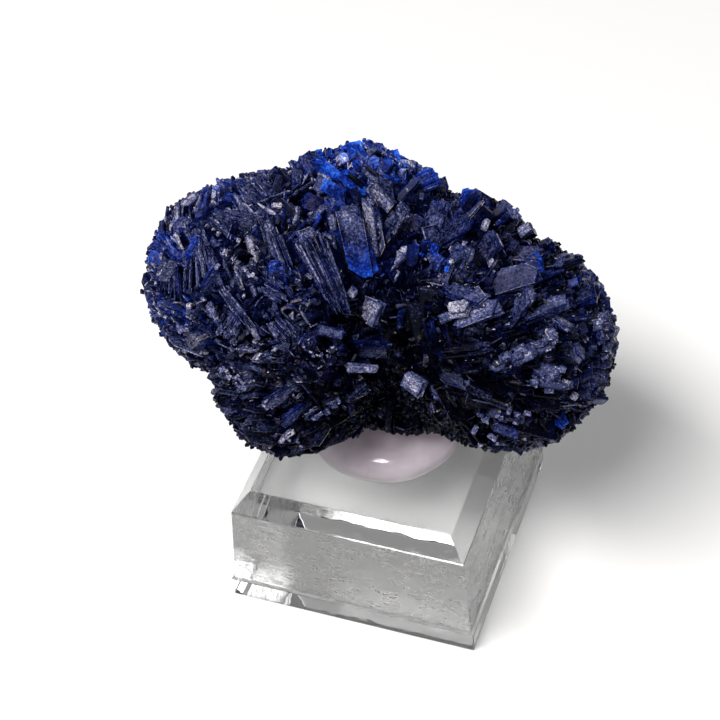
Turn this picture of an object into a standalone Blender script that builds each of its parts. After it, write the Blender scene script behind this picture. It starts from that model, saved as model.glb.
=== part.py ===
"""An azurite crystal cluster, glued with a milky bead to a clear bevelled acrylic base.

Frame: metres, +Z up, origin at the centre of the base's underside, the base's sides along X and Y.
The cluster is laid out in its own display frame: right, up and front as seen from the side that it
is mounted to show. Its crystals are thin six-sided blades that radiate from a nucleus inside it.
"""

import math

import bmesh
import bpy
import numpy as np
from mathutils import Matrix, Vector

MM = 0.001

# Base: a square acrylic block, drafted and bevelled above a slightly wider plinth.
BASE_TOP_WIDTH = 31.2 * MM
BASE_WALL_WIDTH = 32.9 * MM
BASE_PLINTH_WIDTH = 33.5 * MM
BASE_HEIGHT = 18.75 * MM
BASE_PLINTH_HEIGHT = 3.4 * MM
BASE_LEDGE_DROP = 0.25 * MM
BASE_BEVEL_INSET = 2.15 * MM
BASE_BEVEL_DROP = 2.7 * MM

# Glue: a round bead, low and flat on top, squeezed out between the base and the cluster.
GLUE_RADIUS = 10.2 * MM
GLUE_HEIGHT = 4.4 * MM
GLUE_FULLNESS = 2.6
GLUE_PROFILE_STEPS = 7
GLUE_SEGMENTS = 36
GAP = 0.3 * MM
GLUE_FOOT = (0.0, 1.6 * MM, BASE_HEIGHT + GAP)

# Seat: the cutter under the cluster, the bead's shape on a wide brim.
BRIM_RADIUS = 45.0 * MM
BRIM_DEPTH = 15.0 * MM

# Display frame of the cluster: the direction that it faces, and the place of its middle.
FACING_AZIMUTH = math.radians(23.75)
FACING_ELEVATION = math.radians(45.8)
FACING_ROLL = math.radians(6.2)
CLUSTER_CENTRE = np.array([-0.4, 4.1, 39.7]) * MM

# Lobes of the cluster's body: centre and radii along right, up and front, in mm from its middle.
LOBES = {
    "core": ((1.5, -0.5, -4.5), (12.5, 12.0, 11.5)),
    "left": ((-13.9, 2.3, -1.0), (14.0, 12.0, 14.0)),
    "left_foot": ((-10.5, -9.5, 1.0), (8.8, 9.4, 10.5)),
    "crown": ((-2.5, 7.6, -2.0), (11.4, 10.6, 12.0)),
    "shoulder": ((10.6, 1.0, -1.0), (9.6, 10.4, 13.0)),
    "right": ((15.3, -5.4, -1.0), (12.6, 12.2, 14.5)),
    "socket": ((1.2, -10.8, -7.2), (9.0, 7.2, 7.6)),
}
LOBE_ROUGHNESS = 0.6

# Outline of the display side: radii about the cluster's middle in mm, at even steps of angle from
# the right round by the top. Crystals that would stick out of it are moved in, and the body that
# they grow from stays inside it by its inset.
OUTLINE = (
    29.0, 24.8, 20.8, 19.8, 17.8, 16.5, 17.2, 18.1, 20.1, 19.5, 20.4, 21.9, 23.8, 28.3, 29.4,
    29.5, 27.0, 24.2, 24.0, 24.6, 22.9, 19.1, 16.9, 17.5, 18.2, 20.2, 26.6, 28.9, 30.6, 30.2,
)
BODY_INSET = 1.8
LOBE_SUBDIVISIONS = 2
LOBE_SWELL = 1.02

# Blades: their growth starts from the nucleus, and the dark hollow in front of it parts them.
NUCLEUS = np.array([3.0, -6.0, -6.0])
HOLLOW = np.array([3.5, -7.0, 9.0])
BLADE_SPACING = 4.5
DOMAIN_COUNT = 46
BLADE_LENGTH = (4.2, 7.2)
BLADE_WIDTH = (2.2, 4.0)
BLADE_THICKNESS = (0.9, 1.5)
BLADE_REACH = (1.3, 2.5)
BLADE_MOST_OUT = 0.62
BLADE_LEAST_RISE = 0.25
BLADE_TAPER = 0.82
BLADE_SCATTER = (7.0, 9.0)
LARGE_BLADE_SUNK = 1.0
BLADE_SEED = 29
LOBE_SEED = 7

# Lean off the surface's normal and turn about the growth axis, in degrees: petals with their
# broad sides out on the right, and books of blades that stand on edge on the left.
PETALS = np.array([50.0, 20.0])
BOOKS = np.array([28.0, 65.0])
DOMAIN_SCATTER = np.array([13.0, 25.0])
BOOKS_START, BOOKS_FULL = -2.0, -10.0

# Large blades on the display side: right and up of the middle, length, width, turn of the long
# axis in degrees from the right, tip about that axis, and rise of the free end off the body.
LARGE_BLADES = (
    (-2.9, 6.1, 9.4, 3.6, 101, 12, 18),
    (-1.1, 8.1, 7.4, 2.4, 98, 40, 22),
    (-5.9, 5.2, 5.0, 1.7, 112, 25, 20),
    (-7.5, 10.9, 4.6, 2.2, 160, 15, 20),
    (-4.9, 14.3, 8.6, 1.9, 144, 20, 8),
    (-12.6, 5.7, 9.4, 2.0, 111, 25, 14),
    (-7.4, 3.1, 8.8, 3.0, 134, 30, 12),
    (16.7, 4.8, 6.0, 3.2, 176, 25, 18),
    (14.6, 1.8, 8.2, 3.9, 14, 18, 20),
    (12.4, 5.4, 4.4, 3.0, 50, 25, 24),
    (8.4, 7.0, 6.4, 3.2, 35, 30, 20),
    (1.4, 8.3, 5.6, 2.1, 60, 25, 24),
    (2.0, 4.3, 4.0, 1.8, 50, 35, 24),
    (4.3, 7.9, 3.8, 2.6, 80, 20, 16),
    (6.1, 14.9, 4.4, 3.0, 15, 25, 14),
    (10.0, 0.0, 6.0, 2.4, 158, 35, 24),
    (4.4, 0.7, 4.8, 2.4, 15, 45, 24),
    (11.4, -2.5, 6.4, 2.4, 14, 15, 26),
    (15.9, -2.0, 6.4, 2.0, 55, 30, 20),
    (-1.1, -1.9, 3.4, 3.2, 70, 20, 24),
    (-1.7, -6.4, 9.4, 2.6, 174, 30, 14),
    (16.7, -6.9, 8.4, 2.2, 24, 30, 14),
    (18.6, -8.9, 5.6, 2.3, 162, 25, 16),
    (9.5, -10.3, 5.4, 2.2, 160, 30, 18),
    (7.4, -12.3, 4.6, 1.6, 151, 40, 18),
    (14.3, -14.1, 6.0, 1.9, 175, 30, 16),
    (21.6, -14.2, 4.4, 1.6, 110, 30, 16),
    (20.7, -2.8, 4.6, 1.8, 142, 50, 16),
    (-11.3, -11.6, 6.4, 1.8, 30, 45, 12),
    (-9.3, -13.6, 6.0, 1.8, 32, 45, 12),
    (-6.8, -13.7, 4.8, 2.0, 25, 30, 12),
    (-16.2, -2.2, 7.4, 1.6, 125, 40, 14),
    (-18.2, 5.7, 6.6, 2.2, 72, 50, 14),
    (-20.3, 9.2, 5.8, 2.4, 40, 40, 14),
    (23.3, -5.9, 5.0, 2.2, 95, 35, 16),
    (23.8, -0.5, 5.0, 3.0, 20, 45, 24),
    (13.2, 8.9, 5.6, 2.6, 33, 50, 16),
    (18.8, 3.0, 4.6, 2.2, 120, 45, 20),
)


def display_axes():
    """Right, up and front of the display frame as the rows of a matrix."""
    sin_a, cos_a = math.sin(FACING_AZIMUTH), math.cos(FACING_AZIMUTH)
    sin_e, cos_e = math.sin(FACING_ELEVATION), math.cos(FACING_ELEVATION)
    level = np.array([cos_a, sin_a, 0.0])
    steep = np.array([-sin_a * sin_e, cos_a * sin_e, cos_e])
    front = np.array([sin_a * cos_e, -cos_a * cos_e, sin_e])
    right = math.cos(FACING_ROLL) * level - math.sin(FACING_ROLL) * steep
    up = math.sin(FACING_ROLL) * level + math.cos(FACING_ROLL) * steep
    return np.array([right, up, front])


AXES = display_axes()


def unit(vector):
    """The vector, or each row of an array, at length 1."""
    return vector / np.linalg.norm(vector, axis=-1, keepdims=True)


def depth_in_lobe(points, lobe):
    """0 at a lobe's centre, 1 on its surface, and more outside, for each point."""
    centre, radii = (np.array(values) for values in LOBES[lobe])
    return np.linalg.norm((points - centre) / radii, axis=-1)


def lobe_normal(points, lobe):
    """The outward normal of the lobe's ellipsoid at each point."""
    centre, radii = (np.array(values) for values in LOBES[lobe])
    return unit((points - centre) / radii**2)


def outside_outline(points):
    """How far each point is outside the outline, in the display plane."""
    angles = np.arctan2(points[:, 1], points[:, 0]) % (2.0 * math.pi)
    steps = np.linspace(0.0, 2.0 * math.pi, len(OUTLINE) + 1)
    return np.hypot(points[:, 0], points[:, 1]) - np.interp(angles, steps, (*OUTLINE, OUTLINE[0]))


def drawn_in(points, out):
    """The points moved that far towards the middle, in the display plane, where out is over 0."""
    return points - unit(points * (1.0, 1.0, 0.0)) * np.maximum(out, 0.0)[..., None]


def front_of_body(right, up):
    """The frontmost point of the body at that right and up, and the normal there.

    A place beside the body takes the middle depth of the lobe that it is nearest to.
    """
    fronts = {}
    for lobe, (centre, radii) in LOBES.items():
        flat = ((right - centre[0]) / radii[0]) ** 2 + ((up - centre[1]) / radii[1]) ** 2
        rise = radii[2] * math.sqrt(max(0.0, 1.0 - flat))
        fronts[lobe] = (min(0.0, 1.0 - flat), centre[2] + rise)
    lobe = max(fronts, key=fronts.get)
    point = np.array([right, up, fronts[lobe][1]])
    return point, lobe_normal(point, lobe)


def spread_over_lobes(spacing):
    """Points about a spacing apart over the body, with their normals.

    They are those of each lobe that no other lobe covers, drawn in as the body is.
    """
    points, normals = [], []
    golden = math.pi * (3.0 - math.sqrt(5.0))
    for lobe, (centre, radii) in LOBES.items():
        mean_radius = np.mean(radii)
        count = round(4.0 * math.pi * mean_radius**2 / spacing**2)
        index = np.arange(count)
        height = 1.0 - 2.0 * (index + 0.5) / count
        ring = np.sqrt(1.0 - height**2)
        sphere = np.stack([ring * np.cos(golden * index), ring * np.sin(golden * index), height], axis=1)
        spots = np.array(centre) + sphere * np.array(radii)
        others = [depth_in_lobe(spots, other) for other in LOBES if other != lobe]
        open_air = np.min(others, axis=0) > 1.0
        points.append(spots[open_air])
        normals.append(lobe_normal(spots[open_air], lobe))
    points = np.concatenate(points)
    return drawn_in(points, outside_outline(points) + BODY_INSET), np.concatenate(normals)


def blade_matrix(centre, along, face, length, width, thickness):
    """Turns a unit hexagonal prism into a blade: its first axis along, its flat side towards face."""
    across = np.cross(face, along)
    half_length, half_width = along * length / 2.0, across * width / 2.0
    corners = [centre + end * half_length + side * half_width for end in (-1, 1) for side in (-1, 1)]
    centre = drawn_in(centre, outside_outline(np.array(corners)).max())
    edges = np.array([along * length / 2.0, across * width / 2.0, face * thickness]) @ AXES * MM
    placed = CLUSTER_CENTRE + centre @ AXES * MM
    rows = np.column_stack([*edges, placed])
    return Matrix([*rows, (0.0, 0.0, 0.0, 1.0)])


def large_blade_matrices():
    """The blades of the display side, in the order that they are listed.

    The end nearest the hollow is the root. It is sunk in the body, and the free end rises off it.
    """
    matrices = []
    for right, up, length, width, turn, tip, rise in LARGE_BLADES:
        spot, normal = front_of_body(right, up)
        angle, tilt, climb = math.radians(turn), math.radians(tip), math.radians(rise)
        along = np.array([math.cos(angle), math.sin(angle), 0.0])
        along *= math.copysign(1.0, along @ (spot - HOLLOW))
        flat = unit(0.6 * (normal - along * (normal @ along)) + np.array([0.0, 0.0, 0.8]))
        along = unit(along - flat * (along @ flat))
        along, flat = (
            math.cos(climb) * along + math.sin(climb) * flat,
            math.cos(climb) * flat - math.sin(climb) * along,
        )
        face = math.cos(tilt) * flat + math.sin(tilt) * np.cross(flat, along)
        centre = spot + normal * (0.5 * length * math.sin(climb) - LARGE_BLADE_SUNK)
        matrices.append(blade_matrix(centre, along, face, length, width, 0.3 * width + 0.4))
    return matrices


def clear_of_large_blades(points):
    """Whether each point is far enough from every large blade's middle, in the display plane."""
    middles = np.array([blade[:2] for blade in LARGE_BLADES])
    reach = np.array([0.22 * (blade[2] + blade[3]) for blade in LARGE_BLADES])
    apart = np.linalg.norm(points[:, None, :2] - middles[None], axis=2)
    return (apart > reach).all(axis=1) | (points[:, 2] < 0.0)


def domain_habits(middles, rng):
    """Each crystal domain's lean and turn in radians, from petals on the right to books on the left."""
    share = np.clip((middles[:, 0] - BOOKS_START) / (BOOKS_FULL - BOOKS_START), 0.0, 1.0)[:, None]
    habits = PETALS * (1.0 - share) + BOOKS * share
    return np.radians(habits + rng.normal(0.0, DOMAIN_SCATTER, habits.shape))


def small_blade_matrices():
    """Blades all over the lobes, leaning alike within each crystal domain.

    Each one's tip stands its reach off the lobe, unless that would leave too little of it sunk.
    """
    rng = np.random.default_rng(BLADE_SEED)
    points, normals = spread_over_lobes(BLADE_SPACING)
    domains = points[rng.choice(len(points), DOMAIN_COUNT, replace=False)]
    habits = domain_habits(domains, rng)
    kept = clear_of_large_blades(points)
    points, normals = points[kept], normals[kept]
    count = len(points)
    scatter = np.radians(rng.normal(0.0, BLADE_SCATTER, (count, 2)))
    sizes = rng.uniform(*zip(BLADE_LENGTH, BLADE_WIDTH, BLADE_THICKNESS, BLADE_REACH), (count, 4))
    matrices = []
    for point, normal, extra, (length, width, thickness, reach) in zip(points, normals, scatter, sizes):
        domain = np.argmin(np.linalg.norm(domains - point, axis=1))
        lean, turn = habits[domain] + extra
        outward = unit(0.6 * normal + 0.4 * unit(point - NUCLEUS))
        away = point - HOLLOW
        away = unit(away - outward * (away @ outward))
        along = math.cos(lean) * outward + math.sin(lean) * away
        petal = math.sin(lean) * outward - math.cos(lean) * away
        face = math.cos(turn) * petal + math.sin(turn) * np.cross(outward, away)
        out = min(reach / max(math.cos(lean), BLADE_LEAST_RISE), BLADE_MOST_OUT * length)
        centre = point + along * (out - length / 2.0)
        matrices.append(blade_matrix(centre, along, face, length, width, thickness))
    return matrices


def add_lobe(mesh, lobe, rng):
    """A lump of flat faces in the place of one lobe."""
    centre, radii = (np.array(values) for values in LOBES[lobe])
    made = bmesh.ops.create_icosphere(mesh, subdivisions=LOBE_SUBDIVISIONS, radius=LOBE_SWELL)
    for vertex in made["verts"]:
        spot = centre + np.array(vertex.co) * radii
        spot += rng.uniform(-LOBE_ROUGHNESS, LOBE_ROUGHNESS, 3)
        spot = drawn_in(spot, outside_outline(spot[None])[0] + BODY_INSET)
        vertex.co = Vector(CLUSTER_CENTRE + spot @ AXES * MM)


def new_object(name, mesh, collection):
    """A named object that shows the bmesh, in the collection."""
    data = bpy.data.meshes.new(name)
    mesh.to_mesh(data)
    mesh.free()
    made = bpy.data.objects.new(name, data)
    collection.objects.link(made)
    return made


def new_material(name, colour, roughness, transmission=0.0, ior=1.5):
    """A Principled BSDF of one colour."""
    material = bpy.data.materials.new(name)
    material.use_nodes = True
    shader = material.node_tree.nodes["Principled BSDF"]
    shader.inputs["Base Color"].default_value = (*colour, 1.0)
    shader.inputs["Roughness"].default_value = roughness
    shader.inputs["Metallic"].default_value = 0.0
    shader.inputs["Transmission Weight"].default_value = transmission
    shader.inputs["IOR"].default_value = ior
    return material


def add_boolean(target, other, operation):
    """A Boolean modifier on target, with the other object as its operand."""
    modifier = target.modifiers.new(operation.lower(), "BOOLEAN")
    modifier.operation = operation
    modifier.solver = "EXACT"
    modifier.object = other
    modifier.use_self = operation == "UNION"


def bead_profile(grown):
    """The bead's outer side from its top down to the base, grown outwards by a margin."""
    radius, height = GLUE_RADIUS + grown, GLUE_HEIGHT + grown
    power = 2.0 / GLUE_FULLNESS
    turns = [math.pi / 2.0 * step / GLUE_PROFILE_STEPS for step in range(GLUE_PROFILE_STEPS + 1)]
    return [(radius * math.sin(turn) ** power, height * math.cos(turn) ** power) for turn in turns]


def turned(name, profile, sides, collection):
    """A closed solid: the profile of (radius, height) pairs, turned about Z in that many steps."""
    mesh = bmesh.new()
    points = [mesh.verts.new((radius, 0.0, height)) for radius, height in profile]
    for pair in zip(points, points[1:]):
        mesh.edges.new(pair)
    solid = new_object(name, mesh, collection)
    screw = solid.modifiers.new("turn", "SCREW")
    screw.steps = screw.render_steps = sides
    screw.use_merge_vertices = True
    screw.merge_threshold = 0.00001
    screw.use_smooth_shade = sides > 4
    return solid


def build_base(collection):
    """The acrylic block: a profile of half widths, turned in four steps and set square."""
    outline = (
        (0.0, BASE_HEIGHT),
        (BASE_TOP_WIDTH / 2.0 - BASE_BEVEL_INSET, BASE_HEIGHT),
        (BASE_TOP_WIDTH / 2.0, BASE_HEIGHT - BASE_BEVEL_DROP),
        (BASE_WALL_WIDTH / 2.0, BASE_PLINTH_HEIGHT),
        (BASE_PLINTH_WIDTH / 2.0, BASE_PLINTH_HEIGHT - BASE_LEDGE_DROP),
        (BASE_PLINTH_WIDTH / 2.0, 0.0),
        (0.0, 0.0),
    )
    profile = [(half_width * math.sqrt(2.0), height) for half_width, height in outline]
    base = turned("acrylic_base", profile, 4, collection)
    base.rotation_euler.z = math.pi / 4.0
    base.data.materials.append(new_material("acrylic", (0.95, 0.97, 0.97), 0.02, 1.0, 1.49))
    return base


def build_glue(collection):
    """The bead of glue on the base's top face."""
    glue = turned("glue_bead", [*bead_profile(0.0), (0.0, 0.0)], GLUE_SEGMENTS, collection)
    glue.location = GLUE_FOOT
    glue.data.materials.append(new_material("milky_glue", (0.86, 0.84, 0.85), 0.15, 0.4, 1.48))
    return glue


def build_seat(cutters):
    """What the cluster leaves free: the bead with a gap round it, and all that is below its foot."""
    foot = GLUE_RADIUS + GAP
    brim = [(foot, GAP), (BRIM_RADIUS, GAP), (BRIM_RADIUS, -BRIM_DEPTH), (0.0, -BRIM_DEPTH)]
    seat = turned("seat", [*bead_profile(GAP)[:-1], *brim], GLUE_SEGMENTS, cutters)
    seat.location = GLUE_FOOT
    return seat


def build_cluster(collection, cutters):
    """The azurite: lobes and blades joined in one solid, with a seat where the glue holds it."""
    rng = np.random.default_rng(LOBE_SEED)
    body = bmesh.new()
    lobes = list(LOBES)
    add_lobe(body, lobes[0], rng)
    cluster = new_object("azurite_cluster", body, collection)
    grown = bmesh.new()
    for lobe in lobes[1:]:
        add_lobe(grown, lobe, rng)
    for matrix in [*large_blade_matrices(), *small_blade_matrices()]:
        bmesh.ops.create_cone(
            grown, cap_ends=True, segments=6, radius1=1.0, radius2=BLADE_TAPER, depth=1.0, matrix=matrix
        )
    bmesh.ops.recalc_face_normals(grown, faces=grown.faces)
    add_boolean(cluster, new_object("crystals", grown, cutters), "UNION")
    add_boolean(cluster, build_seat(cutters), "DIFFERENCE")
    cluster.data.materials.append(new_material("azurite", (0.012, 0.022, 0.13), 0.35, ior=1.76))
    return cluster


def clear_scene():
    """Removes every object that the file opened with."""
    for left_over in list(bpy.data.objects):
        bpy.data.objects.remove(left_over)


def new_collection(name, hidden=False):
    """A collection in the scene. The objects of a hidden one are helpers."""
    made = bpy.data.collections.new(name)
    made.hide_render = hidden
    bpy.context.scene.collection.children.link(made)
    return made


def main():
    """Builds the specimen in its own collection, and its cutters in another."""
    clear_scene()
    specimen = new_collection("azurite_specimen")
    cutters = new_collection("cutters", hidden=True)
    build_base(specimen)
    build_glue(specimen)
    build_cluster(specimen, cutters)
    for helper in cutters.objects:
        helper.hide_render = True
        helper.display_type = "WIRE"


main()
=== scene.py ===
"""Looks of an azurite crystal cluster, glued with a milky bead to a clear bevelled acrylic base.

The cluster is laid out in its own display frame, in millimetres: right, up and front of its middle,
as seen from the side that it is mounted to show. Every mesh is worked out as whole numpy arrays.
"""

from __future__ import annotations

import logging
import math
from dataclasses import dataclass, field, replace
from enum import Enum
from typing import Any, Sequence, Union

import bpy
import numpy as np
from mathutils import Matrix, Vector

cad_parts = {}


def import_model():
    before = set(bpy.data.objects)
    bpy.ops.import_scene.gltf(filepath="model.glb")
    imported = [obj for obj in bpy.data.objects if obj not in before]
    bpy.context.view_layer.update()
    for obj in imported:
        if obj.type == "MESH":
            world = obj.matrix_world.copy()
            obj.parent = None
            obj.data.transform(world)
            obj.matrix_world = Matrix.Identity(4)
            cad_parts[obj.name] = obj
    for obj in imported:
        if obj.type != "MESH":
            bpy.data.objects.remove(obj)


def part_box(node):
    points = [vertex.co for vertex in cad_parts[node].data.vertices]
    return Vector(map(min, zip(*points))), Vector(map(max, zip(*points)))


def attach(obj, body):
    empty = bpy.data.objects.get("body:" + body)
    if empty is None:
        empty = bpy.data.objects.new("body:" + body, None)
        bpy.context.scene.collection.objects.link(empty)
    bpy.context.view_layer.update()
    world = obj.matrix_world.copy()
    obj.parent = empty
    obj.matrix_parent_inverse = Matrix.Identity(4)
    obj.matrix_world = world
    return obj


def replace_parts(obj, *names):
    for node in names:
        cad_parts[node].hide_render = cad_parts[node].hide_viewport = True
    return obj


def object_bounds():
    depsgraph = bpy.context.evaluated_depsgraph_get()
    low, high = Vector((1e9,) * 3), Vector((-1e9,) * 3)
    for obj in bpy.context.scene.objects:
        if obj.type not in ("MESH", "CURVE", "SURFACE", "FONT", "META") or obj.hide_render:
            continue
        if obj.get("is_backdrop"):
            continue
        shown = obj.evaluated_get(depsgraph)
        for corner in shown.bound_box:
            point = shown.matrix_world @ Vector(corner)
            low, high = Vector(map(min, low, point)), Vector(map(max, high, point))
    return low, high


LOG = logging.getLogger("azurite")
MM = 0.001
BODY = "root"

FULL_TURN = 2.0 * math.pi

Array = np.ndarray
Dice = np.random.Generator
Material = bpy.types.Material
Piece = bpy.types.Object
Colour = tuple[float, float, float]
Triple = tuple[float, float, float]
Pair = tuple[float, float]


# ---- Small helpers on arrays ----


def unit(vectors: Array) -> Array:
    """Each vector divided by its own length."""
    return vectors / np.linalg.norm(vectors, axis=-1, keepdims=True)


def square_to(axes: Array, vectors: Array) -> Array:
    """The vectors less their part along the unit axes."""
    return vectors - axes * (vectors * axes).sum(axis=1, keepdims=True)


def smooth_step(values: Array, low: float, high: float) -> Array:
    """0 below low, 1 above high, and the cubic 3s^2 - 2s^3 of the share s of the way between."""
    share = np.clip((values - low) / (high - low), 0.0, 1.0)
    return share * share * (3.0 - 2.0 * share)


def on_the_left(places: Array, across: Pair, forward: Pair) -> Array:
    """1 on the left of the display side, 0 on its right and behind, and smooth over the ranges."""
    return smooth_step(-places[:, 0], *across) * smooth_step(places[:, 2], *forward)


def lumps(points: Array, size: float, seed: int) -> Array:
    """A smooth random field from -1 to 1.

    It is the mean of eight sine waves of random direction and phase, each about a lump long, made
    2.2 times as strong and cut off at -1 and 1.

    Args:
        points: Places, in mm, as rows.
        size: Length of a lump in mm.
        seed: Picks the waves.

    Returns:
        One value for each place.
    """
    rng = np.random.default_rng(seed)
    directions = unit(rng.normal(size=(8, 3))) * rng.uniform(0.7, 1.6, (8, 1))
    phases = rng.uniform(0.0, FULL_TURN, 8)
    waves = np.sin(points @ directions.T * (math.pi / size) + phases)
    return np.clip(waves.mean(axis=-1) * 2.2, -1.0, 1.0)


# ---- Meshes ----


@dataclass
class Shell:
    """A mesh in the making.

    Attributes:
        name: The piece's name.
        vertices: Their places in metres, as rows.
        triangles: Rows of three vertex numbers.
        grain: Each vertex's place on its crystal's grain map.
        habit: Each vertex's depth of blue, stain and change of the painted sheen, and 1.
        frost: How much painted sheen each triangle has.
    """

    name: str
    vertices: Array
    triangles: Array
    grain: Array | None = None
    habit: Array | None = None
    frost: Array | None = None

    def build(self, material: Material, smooth: bool = False) -> Piece:
        """Makes the object, at the origin, with its place in its mesh.

        Args:
            material: The finish of the whole piece.
            smooth: Whether its faces are shaded as one rounded surface.

        Returns:
            The new object, linked to the scene.
        """
        mesh = bpy.data.meshes.new(self.name)
        count = len(self.triangles)
        mesh.vertices.add(len(self.vertices))
        mesh.vertices.foreach_set("co", self.vertices.astype(np.float32).ravel())
        mesh.loops.add(count * 3)
        mesh.loops.foreach_set("vertex_index", self.triangles.astype(np.int32).ravel())
        mesh.polygons.add(count)
        mesh.polygons.foreach_set("loop_start", np.arange(0, count * 3, 3, dtype=np.int32))
        mesh.update(calc_edges=True)
        mesh.polygons.foreach_set("use_smooth", np.full(count, smooth))
        if self.grain is not None:
            layer = mesh.uv_layers.new(name="grain")
            layer.uv.foreach_set("vector", self.grain[self.triangles].astype(np.float32).ravel())
        if self.habit is not None:
            layer = mesh.attributes.new("habit", "FLOAT_COLOR", "POINT")
            layer.data.foreach_set("color", self.habit.astype(np.float32).ravel())
        if self.frost is not None:
            layer = mesh.attributes.new("frost", "FLOAT", "FACE")
            layer.data.foreach_set("value", self.frost.astype(np.float32).ravel())
        mesh.materials.append(material)
        piece = bpy.data.objects.new(self.name, mesh)
        bpy.context.scene.collection.objects.link(piece)
        LOG.info("%s: %d triangles", self.name, count)
        return piece


def rings_to_triangles(levels: int, around: int) -> Array:
    """Triangles of a stack of closed rings, top to bottom, with a fan over each end.

    Args:
        levels: How many rings.
        around: Points on each ring.

    Returns:
        Rows of three vertex numbers, counted ring by ring, that face outwards.
    """
    level, turn = np.meshgrid(np.arange(levels - 1), np.arange(around), indexing="ij")
    upper, lower = level * around + turn, (level + 1) * around + turn
    ahead = (turn + 1) % around
    upper_ahead, lower_ahead = level * around + ahead, (level + 1) * around + ahead
    sides = [
        np.stack([upper, lower, lower_ahead], -1),
        np.stack([upper, lower_ahead, upper_ahead], -1),
    ]
    fan = np.arange(1, around - 1)
    first = np.zeros_like(fan)
    last = (levels - 1) * around
    top = np.stack([first, fan, fan + 1], -1)
    bottom = np.stack([first + last, last + fan + 1, last + fan], -1)
    return np.concatenate([*(side.reshape(-1, 3) for side in sides), top, bottom])


# ---- Node trees ----

Operand = Union["Socket", float, tuple]


class Socket:
    """One output of a node. Python's operators on it add Math nodes to its tree."""

    def __init__(self, tree: "Tree", output: bpy.types.NodeSocket) -> None:
        """Wraps the output of a node of that tree."""
        self.tree = tree
        self.output = output

    def _math(self, operation: str, *operands: Operand) -> "Socket":
        """A Math node of that operation on the operands."""
        return self.tree.add("ShaderNodeMath", {"operation": operation}, dict(enumerate(operands)))

    def __add__(self, other: Operand) -> "Socket":
        """Sum."""
        return self._math("ADD", self, other)

    __radd__ = __add__

    def __mul__(self, other: Operand) -> "Socket":
        """Product."""
        return self._math("MULTIPLY", self, other)

    __rmul__ = __mul__

    def __sub__(self, other: Operand) -> "Socket":
        """Difference."""
        return self._math("SUBTRACT", self, other)

    def __rsub__(self, other: Operand) -> "Socket":
        """Difference, with the socket taken away."""
        return self._math("SUBTRACT", other, self)

    def between(self, low: float, high: float) -> "Socket":
        """0 below low, 1 above high, and a smooth step between.

        Args:
            low: Where it starts to rise.
            high: Where it has risen.

        Returns:
            The step.
        """
        settings = {"interpolation_type": "SMOOTHSTEP"}
        inputs = {"Value": self, "From Min": low, "From Max": high}
        return self.tree.add("ShaderNodeMapRange", settings, inputs)


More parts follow.
